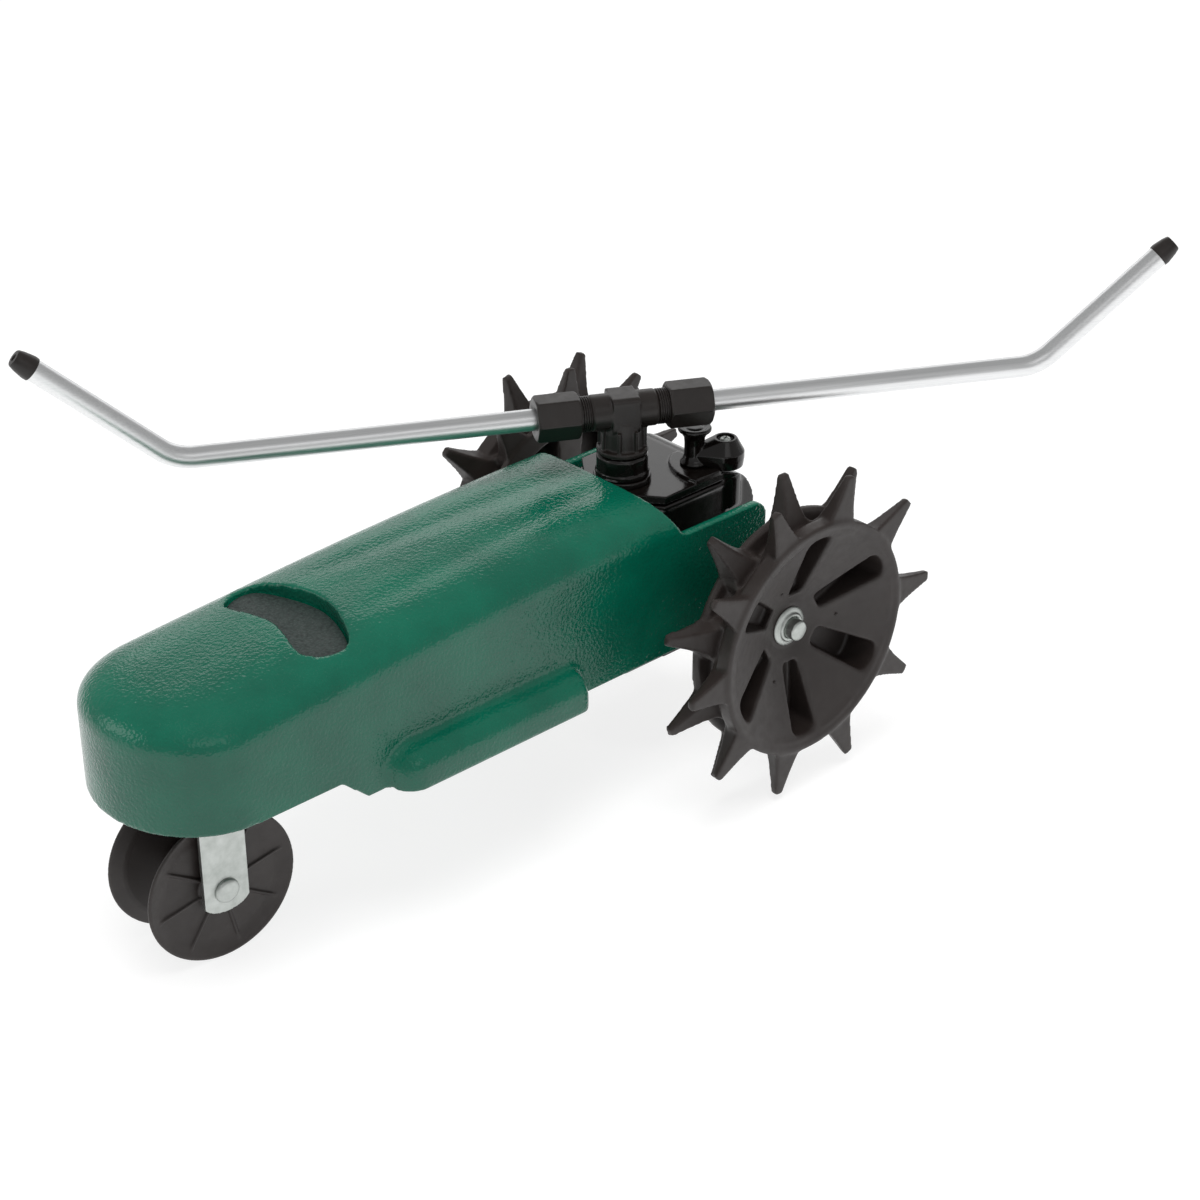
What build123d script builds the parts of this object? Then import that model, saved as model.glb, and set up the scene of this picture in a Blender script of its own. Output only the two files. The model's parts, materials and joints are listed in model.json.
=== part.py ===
from build123d import *

import os
from math import atan2, cos, degrees, hypot, pi, radians, sin, sqrt

# Travelling lawn sprinkler. It pulls itself along a laid-out garden hose: water spins the two arms,
# a worm on the spindle drives the spiked rear wheels, and a double-disc guide wheel follows the hose.
# Working frame, mm: +X forwards, +Y to the vehicle's left, +Z up, zero on the ground under the rear axle.
# write_parts() moves everything back by BOX_MID_X, so the finished origin is the middle of the footprint.

# ---- driving dimensions ------------------------------------------------------------------------
BOX_MID_X = 72.35

# rear wheels: 8 in over the spikes, standing on their inner row
SPIKE_R = 100.0
RIM_R = 73.0
DRUM_R = 63.0
RIM_INNER_R = 58.5
WHEEL_OUT_Y = 121.5
WHEEL_IN_Y = 92.0
SPIKES = 10
LEFT_PHASE = 177.0
RIGHT_PHASE = 38.2
SPOKE_GAPS = 6
WINDOW_PHASE = 27.0
AXLE_Z = SPIKE_R
AXLE_R = 6.35
AXLE_HALF = 108.0
HUB_R = 14.0
HUB_OUT_Y = 98.5
HUB_IN_Y = 66.2

# cast body
BODY_HALF = 60.0
WALL = 5.5
BODY_REAR_X = -19.5
NOSE_X = 404.6
NOSE_START_X = 352.0
BODY_LOW_Z = 88.0
NOSE_LOW_Z = 102.6
CHEEK_TOP_Z = 162.0
CHEEK_NOTCH_X = 47.8
HOOD_EDGE_X = 61.0
CROWN_REAR_Z = 184.0
CROWN_FALL = 17.0
SHOULDER_DROP = 21.0

# gearbox
BOX_HALF = 36.0
BOX_FRONT_X = 58.0
BOX_REAR_X = -33.5
BOX_LOW_Z = 68.0
BOX_SPLIT_Z = 170.0
BOX_TOP_Z = 174.5
BOX_WALL = 3.5
BOX_BACK_R = 28.5
COVER_SCREW_TOP = 172.0

# sprinkler head
SWIVEL_X = 41.0
ARM_Z = 218.0
ARM_HEADING = -28.3
ARM_R = 6.35
ARM_BORE_R = 5.35
ARM_BEND = 257.0
ARM_TAIL = 96.7
ARM_LIFT = 41.0
ARM_BEND_R = 30.0
SPINDLE_R = 7.0
SPINDLE_BORE_R = 5.0
RUN_CLEAR = 0.06
PRESS_GAP = 0.02

# gear train: a one-start worm, then a spur pair
WORM_MODULE = 1.0
WORM_PITCH_R = 9.5
WORM_WHEEL_TEETH = 28
SPUR_MODULE = 0.8
PINION_TEETH = 12
AXLE_GEAR_TEETH = 64
COUNTER_R = 2.5

# front guide wheel
FORK_X = 351.0
GUIDE_R = 44.8
GUIDE_HALF = 22.0
GUIDE_GAP_HALF = 17.0
STEER = -4.0
KINGPIN_R = 4.0

# selector
LEVER_X = -15.0
LEVER_Y = 29.0
KNOB_X = -0.3
KNOB_Y = 18.0

# water inlet
INLET_Z = 52.0
VALVE_X = -40.0
GARDEN_HOSE_R = 13.2
HOSE_SEAT_X = -79.5

# ---- derived places ----------------------------------------------------------------------------
X = (1, 0, 0)
Y = (0, 1, 0)
Z = (0, 0, 1)
MINUS_X = (-1, 0, 0)
LOW = (Align.CENTER, Align.CENTER, Align.MIN)

WORM_WHEEL_R = WORM_MODULE * WORM_WHEEL_TEETH / 2
COUNTER_X = SWIVEL_X - WORM_PITCH_R - WORM_WHEEL_R
SPUR_CENTRES = SPUR_MODULE * (PINION_TEETH + AXLE_GEAR_TEETH) / 2
COUNTER_Z = AXLE_Z + sqrt(SPUR_CENTRES**2 - COUNTER_X**2)
SPUR_ANGLE = degrees(atan2(COUNTER_Z - AXLE_Z, COUNTER_X))
PAD_Z = 167.0


# ---- small makers ------------------------------------------------------------------------------
def rod(radius, start, direction, length):
    """Round bar from start along direction."""
    return Plane(origin=start, z_dir=direction) * Cylinder(radius, length, align=LOW)


def tube(outer, inner, start, direction, length):
    """Round bar with a straight bore."""
    return rod(outer, start, direction, length) - rod(inner, start, direction, length)


def cone(low_r, high_r, start, direction, length):
    """Truncated cone from start along direction."""
    return Plane(origin=start, z_dir=direction) * Cone(low_r, high_r, length, align=LOW)


def block(x0, x1, y0, y1, z0, z1):
    """Box given by its six faces."""
    middle = ((x0 + x1) / 2, (y0 + y1) / 2, (z0 + z1) / 2)
    return Pos(*middle) * Box(x1 - x0, y1 - y0, z1 - z0)


def side_prism(points, y0, y1):
    """Outline of (x, z) points pushed across the vehicle from y0 to y1."""
    outline = Wire.make_polygon([(x, y0, z) for x, z in points], close=True)
    return extrude(Face(outline), amount=y1 - y0, dir=Y)


def hex_bar(flats, start, direction, length):
    """Hexagonal bar, size across its flats."""
    sketch = RegularPolygon(flats / sqrt(3), 6)
    return extrude(Plane(origin=start, z_dir=direction) * sketch, length)


def turned(points):
    """Shape turned about the Y axis from its (radius, y) outline."""
    outline = Wire.make_polygon([(r, y, 0) for r, y in points], close=True)
    return revolve(Face(outline), Axis.Y, 360)


def toothed_disc(module, teeth, phase, width, thin):
    """Spur gear about +Y through the origin, its first tooth at phase degrees up from +X."""
    pitch_r = module * teeth / 2
    root_r = pitch_r - 1.25 * module
    tip_r = pitch_r + 0.9 * module
    half_pitch = 0.5 * pi * module / 2 * thin
    points = []
    for k in range(teeth):
        middle = radians(phase) + 2 * pi * k / teeth
        for r, half in ((root_r, 1.45), (pitch_r, 1.0), (tip_r, 0.45)):
            points.append((r, middle - half * half_pitch / pitch_r))
        for r, half in ((tip_r, 0.45), (pitch_r, 1.0), (root_r, 1.45)):
            points.append((r, middle + half * half_pitch / pitch_r))
    outline = [(r * cos(a), r * sin(a)) for r, a in points]
    return side_prism(outline, -width / 2, width / 2)


def mirrored(shape):
    """The shape's twin on the vehicle's other side."""
    return mirror(shape, Plane.XZ)


# ---- cast body ---------------------------------------------------------------------------------
def crown_z(x):
    """Height of the hood's centre line."""
    along = max(0.0, (x - HOOD_EDGE_X) / (NOSE_X - HOOD_EDGE_X))
    return CROWN_REAR_Z - CROWN_FALL * along**1.9


def shoulder_power(x):
    """Squareness of the hood's section: square at the back, rounder at the nose."""
    along = min(1.0, max(0.0, (x - HOOD_EDGE_X) / 230.0))
    return 5.0 - 2.0 * along


def hood_section(x, inset):
    """Upright slice of the hood at station x, shrunk by inset."""
    half = BODY_HALF - inset
    top = crown_z(x) - inset
    low = BODY_LOW_Z - 2.0 * inset
    power = shoulder_power(x)
    arch = []
    for share in (-1.0, -0.985, -0.93, -0.82, -0.6, -0.3, 0.0, 0.3, 0.6, 0.82, 0.93, 0.985, 1.0):
        drop = SHOULDER_DROP * (1.0 - sqrt(1.0 - abs(share) ** power))
        arch.append((x, half * share, top - drop))
    top_edge = Edge.make_spline(arch, tangents=[(0, 0, 1), (0, 0, -1)])
    left = Edge.make_line(arch[-1], (x, half, low))
    floor = Edge.make_line((x, half, low), (x, -half, low))
    right = Edge.make_line((x, -half, low), arch[0])
    return Face(Wire([top_edge, left, floor, right]))


def hood_form(inset):
    """Solid form of the body: a crowned hood with a rounded nose."""
    half = BODY_HALF - inset
    rear = BODY_REAR_X - 8.0 * inset
    stations = (rear, HOOD_EDGE_X, 120.0, 200.0, 285.0, 350.0, 415.0)
    hood = loft([hood_section(x, inset) for x in stations])
    nose = NOSE_X - NOSE_START_X - inset
    low = BODY_LOW_Z - 3.0 * inset
    plan = Rectangle(NOSE_START_X - rear, 2 * half, align=(Align.MIN, Align.CENTER))
    plan = Pos(rear, 0) * plan + Pos(NOSE_START_X, 0) * Ellipse(nose, half)
    form = hood & extrude(Pos(0, 0, low) * plan, 120.0)
    round_r = 15.0 - inset
    top = crown_z(NOSE_X) - inset
    front = NOSE_X - inset
    corner = Pos(front - round_r, 0, top - round_r + 1.5)
    keep = block(rear, front - round_r, -half, half, low, 200.0)
    keep += block(front - round_r, front, -half, half, low, top - round_r + 1.5)
    keep += corner * Rot(90, 0, 0) * Cylinder(round_r, 2 * half)
    return form & keep


def hand_recess(grow, z0, z1):
    """Curved finger slot across the hood, as a prism grown by grow."""
    g = grow
    rear = [(285, 43.4 + g), (278.5 - 0.4 * g, 42.8 + 0.9 * g), (273.5 - 0.8 * g, 39 + 0.6 * g)]
    rear += [(269.5 - g, 32 + 0.4 * g), (265.5 - g, 22 + 0.2 * g), (262.5 - g, 12)]
    front = [(285, 43.4 + g), (292 + 0.4 * g, 41.6 + 0.9 * g), (298 + 0.8 * g, 37.6 + 0.5 * g)]
    front += [(300.8 + g, 32), (299.5 + g, 24), (297 + g, 15), (295 + g, 7)]
    rear_line = rear + [(261 - g, 0)] + [(x, -y) for x, y in reversed(rear)]
    front_line = front + [(294 + g, 0)] + [(x, -y) for x, y in reversed(front)]
    outline = make_face(
        Spline(*rear_line, tangents=[(-1, 0), (1, 0)]) + Spline(*front_line, tangents=[(1, 0), (-1, 0)])
    )
    return extrude(Pos(0, 0, z0) * outline, amount=z1 - z0, dir=Z)


def side_swelling(inset):
    """Long half-round swelling low on the left flank."""
    out_y = 76.0 - inset
    back = 131.0 + inset
    front = 268.0 - inset
    plan = [
        Edge.make_line((back, 50), (back, out_y)),
        Edge.make_line((back, out_y), (243.0, out_y)),
        Edge.make_three_point_arc((243.0, out_y), (front - 5.5, out_y - 7.0), (front, 58.0)),
        Edge.make_line((front, 58.0), (front, 50)),
        Edge.make_line((front, 50), (back, 50)),
    ]
    form = extrude(Pos(0, 0, 87.0 - 2 * inset) * Face(Wire(plan)), amount=24.0 + inset, dir=Z)
    edges = form.edges().filter_by_position(Axis.Z, 110.9 - inset, 111.1 - inset)
    outer = edges.filter_by(lambda e: e.center().Y > 60.0 - inset)
    return fillet(outer, 11.0 - inset)


def cast_body():
    outer = hood_form(0.0)
    for swelling in (side_swelling(0.0), mirrored(side_swelling(0.0))):
        outer += swelling
    hollow = hood_form(WALL)
    for swelling in (side_swelling(WALL - 1.0), mirrored(side_swelling(WALL - 1.0))):
        hollow += swelling
    body = outer - hollow
    # finger slot with its own floor
    tub = hand_recess(4.0, PAD_Z - 4.0, 190.0) & hood_form(1.2)
    body = body + tub - hand_recess(0.0, PAD_Z, 200.0)
    # open back: hood cut on a lean, cheeks left standing beside the gearbox
    lean_x = HOOD_EDGE_X + 2.0
    opening = [(-60, CHEEK_TOP_Z), (CHEEK_NOTCH_X, CHEEK_TOP_Z), (lean_x, CROWN_REAR_Z)]
    body -= side_prism(opening + [(lean_x, 200), (-60, 200)], -90, 90)
    nose_under = [(281, 60), (281, BODY_LOW_Z), (297, NOSE_LOW_Z), (430, NOSE_LOW_Z), (430, 60)]
    body -= side_prism(nose_under, -90, 90)
    # kingpin boss and the two lugs that the gearbox hangs from
    inside = hood_form(WALL - 1.0)
    body += rod(12.0, (FORK_X, 0, NOSE_LOW_Z - 2.1), Z, 90.0) & (inside + block(330, 372, -15, 15, 95, 130))
    for side in (-1, 1):
        body += rod(7.0, (70.0, 20.0 * side, 156.0), Z, 40.0) & inside
        body += rod(14.0, (0, 49.0 * side, AXLE_Z), (0, side, 0), BODY_HALF - 50.0)
    body -= rod(KINGPIN_R, (FORK_X, 0, 90.0), Z, 45.0)
    for side in (-1, 1):
        body -= rod(3.0, (70.0, 20.0 * side, 150.0), Z, 22.0)
        body -= rod(9.0, (0, 45.0 * side, AXLE_Z), (0, side, 0), 25.0)
    return body


def grip_pad():
    return hand_recess(-0.4, PAD_Z, PAD_Z + 3.0)


# ---- gearbox -----------------------------------------------------------------------------------
def gearbox_form(half, low, high, inset):
    """Gearbox block: flat top, rounded back, clipped front corners."""
    back = BOX_REAR_X + inset
    front = BOX_FRONT_X - inset
    radius = BOX_BACK_R - inset
    block_part = block(back, front, -half, half, low, high)
    corner_x = BOX_REAR_X + BOX_BACK_R
    corner_z = BOX_TOP_Z - BOX_BACK_R
    if high > corner_z:
        notch = block(back - 1, corner_x, -half - 1, half + 1, corner_z, high + 1)
        notch -= Pos(corner_x, 0, corner_z) * Rot(90, 0, 0) * Cylinder(radius, 4 * half)
        block_part -= notch
    for side in (-1, 1):
        clip = [(front - 17.7, half + 1), (front + 2, half + 1), (front + 2, 11.0), (front, 13.5)]
        outline = Polyline([(x, side * y) for x, y in clip], close=True)
        block_part -= extrude(Pos(0, 0, low - 1) * make_face(outline), amount=high - low + 2, dir=Z)
    return block_part


def gearbox_housing():
    shell = gearbox_form(BOX_HALF, BOX_LOW_Z, BOX_SPLIT_Z, 0.0)
    shell += rod(9.9, (LEVER_X, LEVER_Y, 158.0), Z, BOX_SPLIT_Z - 158.0)
    shell -= gearbox_form(BOX_HALF - BOX_WALL, BOX_LOW_Z + BOX_WALL, BOX_SPLIT_Z + 5.0, BOX_WALL)
    for side in (-1, 1):
        shell += block(BOX_FRONT_X - 3.5, 78.0, 20.0 * side - 8, 20.0 * side + 8, 150.0, 155.9)
        shell += rod(4.5, (SWIVEL_X, 18.0 * side, BOX_LOW_Z), Z, 9.0)
    room = gearbox_form(BOX_HALF, BOX_LOW_Z, BOX_SPLIT_Z, 0.0)
    for x, y in screw_places():
        shell += rod(4.0, (x, y, BOX_LOW_Z), Z, BOX_SPLIT_Z - BOX_LOW_Z) & room
    shell -= rod(9.0 + 2.0, (SWIVEL_X, 0, BOX_LOW_Z - 5), Z, 15.0)
    for side in (-1, 1):
        shell -= rod(3.3, (70.0, 20.0 * side, 140.0), Z, 30.0)
        shell -= rod(1.9, (SWIVEL_X, 18.0 * side, 60.0), Z, 15.0)
        shell -= rod(AXLE_R + 0.5, (0, 25.0 * side, AXLE_Z), (0, side, 0), 20.0)
        shell -= rod(COUNTER_R + RUN_CLEAR, (COUNTER_X, 25.0 * side, COUNTER_Z), (0, side, 0), 20.0)
    shell -= rod(3.0 + RUN_CLEAR, (LEVER_X, LEVER_Y, 150.0), Z, 30.0)
    for x, y in screw_places():
        shell -= rod(1.5, (x, y, BOX_LOW_Z - 5), Z, BOX_SPLIT_Z - BOX_LOW_Z + 10)
        shell -= rod(3.3, (x, y, BOX_LOW_Z - 5), Z, 6.8)
    return shell


def screw_places():
    """Cover screw centres; the screws come up from below, so none shows on top."""
    return [(-10.0, -30.5), (36.0, -30.5), (36.0, 30.5), (12.0, 30.5)]


def gearbox_cover():
    plate = gearbox_form(BOX_HALF + 1.0, BOX_SPLIT_Z, BOX_TOP_Z, 0.0)
    quadrant = rod(31.5, (LEVER_X, LEVER_Y - 2.0, BOX_SPLIT_Z), Z, 7.0)
    inside = block(-6.0, 20.0, -BOX_HALF, BOX_HALF + 1.0, BOX_SPLIT_Z, 180.0)
    plate += quadrant & inside
    plate += rod(9.9, (LEVER_X, LEVER_Y, BOX_SPLIT_Z), Z, 9.8)
    plate += rod(12.5, (SWIVEL_X, 0, 163.0), Z, 188.0 - 163.0)
    plate -= rod(9.0, (SWIVEL_X, 0, 160.0), Z, 40.0)
    plate -= rod(3.0 + RUN_CLEAR, (LEVER_X, LEVER_Y, 160.0), Z, 30.0)
    for x, y in screw_places():
        plate -= rod(1.5, (x, y, 165.0), Z, COVER_SCREW_TOP - 165.0)
    return plate


def cover_screws():
    screws = []
    for x, y in screw_places():
        head = rod(3.2, (x, y, BOX_LOW_Z), Z, 1.8) - cross_slot(x, y, BOX_LOW_Z + 0.9, 1.8)
        screws.append(head + rod(1.5, (x, y, BOX_LOW_Z + 1.0), Z, COVER_SCREW_TOP - BOX_LOW_Z - 1.0))
    return screws


def cross_slot(x, y, top, reach):
    """Cross recess for a screwdriver."""
    bars = block(x - reach, x + reach, y - 0.35, y + 0.35, top - 0.9, top + 1)
    return bars + block(x - 0.35, x + 0.35, y - reach, y + reach, top - 0.9, top + 1)


def housing_bolts():
    bolts = []
    for side in (-1, 1):
        bolt = rod(3.0, (70.0, 20.0 * side, 150.0), Z, 21.0)
        bolts.append(bolt + hex_bar(10.0, (70.0, 20.0 * side, 146.0), Z, 4.0))
    return bolts


def neck_ring():
    return tube(16.8, 12.5, (SWIVEL_X, 0, BOX_TOP_Z), Z, 3.5)


def gland_nut():
    nut = rod(16.2, (SWIVEL_X, 0, 178.0), Z, 14.0) & hex_bar(31.0, (SWIVEL_X, 0, 178.0), Z, 14.0)
    nut = chamfer(nut.edges().group_by(Axis.Z)[-1], 1.2)
    nut -= rod(12.5, (SWIVEL_X, 0, 177.0), Z, 12.8)
    return nut - rod(SPINDLE_R + 0.3, (SWIVEL_X, 0, 177.0), Z, 20.0)


def spindle_bush():
    return tube(9.0, SPINDLE_R + RUN_CLEAR, (SWIVEL_X, 0, 163.0), Z, 23.0)


def neck_seal():
    return tube(9.0, SPINDLE_R + RUN_CLEAR, (SWIVEL_X, 0, 186.0), Z, 3.7)


def axle_bushes():
    bushes = []
    for side in (-1, 1):
        bush = rod(9.0 - PRESS_GAP, (0, 48.8 * side, AXLE_Z), (0, side, 0), 12.0)
        bush += rod(12.0, (0, (BODY_HALF + PRESS_GAP) * side, AXLE_Z), (0, side, 0), 2.5)
        bushes.append(bush - rod(AXLE_R + RUN_CLEAR, (0, 40.0 * side, AXLE_Z), (0, side, 0), 40.0))
    return bushes


# ---- water inlet and shut-off ------------------------------------------------------------------
def inlet_manifold():
    low = INLET_Z
    body = rod(10.0, (-58.0, 0, low), X, 99.0) + Pos(SWIVEL_X, 0, low) * Sphere(10.0)
    body += rod(11.0, (SWIVEL_X, 0, low), Z, 76.0 - low)
    body += rod(12.5, (VALVE_X, 0, low - 14.0), Z, 14.0)
    for side in (-1, 1):
        body += rod(4.5, (SWIVEL_X, 18.0 * side, 64.0), Z, 4.0)
    body += block(SWIVEL_X - 4.5, SWIVEL_X + 4.5, -18.0, 18.0, 64.0, 68.0)
    body -= rod(8.0, (-60.0, 0, low), X, 101.0)
    body -= rod(8.0, (SWIVEL_X, 0, low), Z, 30.0)
    body -= rod(9.0, (SWIVEL_X, 0, 62.0), Z, 20.0)
    body -= rod(9.5, (VALVE_X, 0, low - 20.0), Z, 18.0)
    for side in (-1, 1):
        body -= rod(2.1, (SWIVEL_X, 18.0 * side, 60.0), Z, 10.0)
    return body


def lower_bush():
    return tube(9.0, SPINDLE_R + RUN_CLEAR, (SWIVEL_X, 0, 62.0), Z, 14.0)


def manifold_screws():
    screws = []
    for side in (-1, 1):
        screw = rod(1.9, (SWIVEL_X, 18.0 * side, 64.0), Z, 11.0)
        screws.append(screw + rod(3.6, (SWIVEL_X, 18.0 * side, 61.6), Z, 2.4))
    return screws


def valve_cap():
    cap = rod(14.5, (VALVE_X, 0, 34.0), Z, 4.0) + rod(9.5, (VALVE_X, 0, 36.0), Z, 5.0)
    return cap - rod(3.06, (VALVE_X, 0, 30.0), Z, 20.0)


def valve_plunger():
    stem = rod(3.0, (VALVE_X, 0, 24.0), Z, 29.0) + Pos(VALVE_X, 0, 24.0) * Sphere(3.0)
    return stem + rod(4.5, (VALVE_X, 0, 41.05), Z, 6.45)


def valve_disc():
    return tube(6.6, 3.0, (VALVE_X, 0, 47.5), Z, 2.5)


def valve_spring():
    """Return spring between the disc and the roof of the water way."""
    wire_r = 0.45
    low = 50.0 + wire_r
    path = Pos(VALVE_X, 0, low) * Helix(pitch=2.4, height=7.2, radius=4.6)
    wire = Plane(origin=path @ 0, z_dir=path % 0) * Circle(wire_r)
    return sweep(wire, path=path, is_frenet=True)


def inlet_tailpiece():
    pipe = rod(8.0, (-50.0, 0, INLET_Z), MINUS_X, 12.0) + rod(10.4, (-58.0, 0, INLET_Z), MINUS_X, 18.0)
    pipe += rod(12.6, (-74.0, 0, INLET_Z), MINUS_X, 2.5)
    return pipe - rod(6.5, (-40.0, 0, INLET_Z), MINUS_X, 50.0)


def hose_nut():
    nut = rod(16.5, (-70.9, 0, INLET_Z), MINUS_X, 21.0)
    nut -= rod(10.6, (-60.0, 0, INLET_Z), MINUS_X, 50.0)
    nut -= rod(GARDEN_HOSE_R - 0.3, (-73.9, 0, INLET_Z), MINUS_X, 30.0)
    nut -= rod(GARDEN_HOSE_R, (HOSE_SEAT_X, 0, INLET_Z), MINUS_X, 30.0)
    for k in range(12):
        a = 2 * pi * k / 12
        nut += rod(1.6, (-72.9, 16.3 * cos(a), INLET_Z + 16.3 * sin(a)), MINUS_X, 17.0)
    return nut


def hose_washer():
    return tube(12.6, 8.0, (-76.5, 0, INLET_Z), MINUS_X, 3.0)


def filter_screen():
    disc = rod(8.0, (-77.6, 0, INLET_Z), MINUS_X, 0.8)
    for ring, count in ((0.0, 1), (2.6, 6), (5.2, 12)):
        for k in range(count):
            a = 2 * pi * k / count
            disc -= rod(0.8, (-70.0, ring * cos(a), INLET_Z + ring * sin(a)), MINUS_X, 12.0)
    return disc


# ---- spindle, tee and arms: made about the swivel at the origin, front arm along +X --------------
def head_place():
    return Pos(SWIVEL_X, 0, ARM_Z) * Rot(0, 0, ARM_HEADING)


def tee():
    run = rod(9.5, (-38.0, 0, 0), X, 76.0)
    run += rod(10.6, (-19.5, 0, 0), X, 39.0)
    run += block(-8.5, 8.5, -10.8, 10.8, -10.8, 10.8)
    for side in (-1, 1):
        for k in range(4):
            run += rod(10.3, (side * (20.6 + 1.5 * k), 0, 0), (side, 0, 0), 0.8)
    leg = rod(13.2, (0, 0, -25.4), Z, 20.0) + rod(15.0, (0, 0, -25.4), Z, 3.4)
    for k in range(8):
        leg += Rot(0, 0, 45 * k) * block(11.0, 15.0, -1.1, 1.1, -24.0, -9.0)
    body = run + leg
    body -= rod(ARM_R + 0.1, (18.0, 0, 0), X, 30.0) + rod(ARM_R + 0.1, (-18.0, 0, 0), MINUS_X, 30.0)
    body -= rod(5.0, (-20.0, 0, 0), X, 40.0)
    body -= rod(SPINDLE_R, (0, 0, -30.0), Z, 17.0) + rod(5.0, (0, 0, -20.0), Z, 20.0)
    return body


def arm_nuts():
    nuts = []
    for side in (-1, 1):
        nut = hex_bar(24.5, (26.5 * side, 0, 0), (side, 0, 0), 26.0)
        nut = nut & rod(13.9, (26.5 * side, 0, 0), (side, 0, 0), 26.0)
        nut -= rod(9.55, (20.0 * side, 0, 0), (side, 0, 0), 22.4)
        nuts.append(nut - rod(ARM_R + 0.1, (20.0 * side, 0, 0), (side, 0, 0), 40.0))
    return nuts


def ferrules():
    rings = []
    for side in (-1, 1):
        rings.append(tube(9.4, ARM_R + 0.1, (38.1 * side, 0, 0), (side, 0, 0), 4.2))
    return rings


def arm_tube():
    """Front arm: straight run, one upward bend, open end."""
    tail = radians(ARM_LIFT)
    end = (ARM_BEND + ARM_TAIL * cos(tail), 0, ARM_TAIL * sin(tail))
    route = FilletPolyline((20.0, 0, 0), (ARM_BEND, 0, 0), end, radius=ARM_BEND_R)
    skin = sweep(Plane(origin=(20.0, 0, 0), z_dir=X) * Circle(ARM_R), path=route)
    return skin - sweep(Plane(origin=(20.0, 0, 0), z_dir=X) * Circle(ARM_BORE_R), path=route)


def nozzle():
    """Tapered tip pushed into the arm's open end."""
    tail = radians(ARM_LIFT)
    out = (cos(tail), 0, sin(tail))
    end = (ARM_BEND + ARM_TAIL * out[0], 0, ARM_TAIL * out[2])
    root = (end[0] - 12.0 * out[0], 0, end[2] - 12.0 * out[2])
    tip = rod(ARM_BORE_R, root, out, 12.0) + cone(6.9, 5.0, end, out, 10.0)
    return tip - rod(2.0, root, out, 40.0)


def spindle_tube():
    return tube(SPINDLE_R, SPINDLE_BORE_R, (0, 0, 58.0 - ARM_Z), Z, ARM_Z - 13.0 - 58.0)


def worm():
    """One-start right-hand worm on the spindle, in mesh with the worm wheel at rest."""
    pitch = pi * WORM_MODULE
    middle = COUNTER_Z - ARM_Z
    turns = 6
    low = middle - pitch * (turns // 2 + 0.5)
    root_r = WORM_PITCH_R - 1.2 * WORM_MODULE
    helix = Helix(pitch=pitch, height=pitch * turns, radius=root_r - 0.2)
    path = Pos(0, 0, low) * Rot(0, 0, -ARM_HEADING) * helix
    section = Polyline((0, -0.95), (2.2, -0.32), (2.2, 0.32), (0, 0.95), close=True)
    start = path @ 0
    across = (start.X, start.Y, 0)
    place = Plane(origin=start, x_dir=across, z_dir=path % 0)
    thread = sweep(place * make_face(section), path=path, is_frenet=True)
    sleeve = rod(root_r, (0, 0, low - 3.0), Z, pitch * turns + 6.0)
    return sleeve + thread - rod(SPINDLE_R, (0, 0, low - 20.0), Z, 60.0)


# ---- gear train --------------------------------------------------------------------------------
def countershaft():
    return rod(COUNTER_R, (COUNTER_X, -35.5, COUNTER_Z), Y, 71.0)


def worm_wheel():
    phase = 180.0 / WORM_WHEEL_TEETH
    wheel = toothed_disc(WORM_MODULE, WORM_WHEEL_TEETH, phase, 5.0, 0.7)
    wheel += rod(6.0, (0, -7.0, 0), Y, 14.0)
    wheel = Pos(COUNTER_X, 0, COUNTER_Z) * wheel
    return wheel - rod(COUNTER_R, (COUNTER_X, -20, COUNTER_Z), Y, 40.0)


def pinion():
    gear = toothed_disc(SPUR_MODULE, PINION_TEETH, SPUR_ANGLE + 180.0, 12.0, 0.8)
    gear = Pos(COUNTER_X, 14.0, COUNTER_Z) * gear
    return gear - rod(COUNTER_R, (COUNTER_X, -20, COUNTER_Z), Y, 50.0)


def axle_gear():
    phase = SPUR_ANGLE + 180.0 / AXLE_GEAR_TEETH
    gear = toothed_disc(SPUR_MODULE, AXLE_GEAR_TEETH, phase, 8.0, 0.8) + rod(11.0, (0, -8.0, 0), Y, 16.0)
    for k in range(6):
        gear -= Rot(0, 60 * k, 0) * rod(4.2, (17.0, -10.0, 0), Y, 20.0)
    gear = Pos(0, 14.0, AXLE_Z) * gear
    return gear - rod(AXLE_R, (0, -30, AXLE_Z), Y, 70.0)


def drive_axle():
    axle = rod(AXLE_R, (0, -AXLE_HALF, AXLE_Z), Y, 2 * AXLE_HALF)
    axle = chamfer(axle.edges().filter_by(GeomType.CIRCLE), 0.8)
    for side in (-1, 1):
        axle -= rod(2.0, (-10, 68.6 * side, AXLE_Z), X, 20.0)
    return axle


def drive_pins():
    return [rod(2.0, (-11.5, 68.6 * side, AXLE_Z), X, 23.0) for side in (-1, 1)]


def wheel_spacers():
    return [tube(11.0, AXLE_R, (0, 62.7 * side, AXLE_Z), (0, side, 0), 3.4) for side in (-1, 1)]


def wheel_caps():
    caps = []
    for side in (-1, 1):
        cap = cone(12.0, 9.0, (0, (HUB_OUT_Y + PRESS_GAP) * side, AXLE_Z), (0, side, 0), 2.2)
        caps.append(cap - rod(AXLE_R, (0, 90.0 * side, AXLE_Z), (0, side, 0), 20.0))
    return caps


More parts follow.
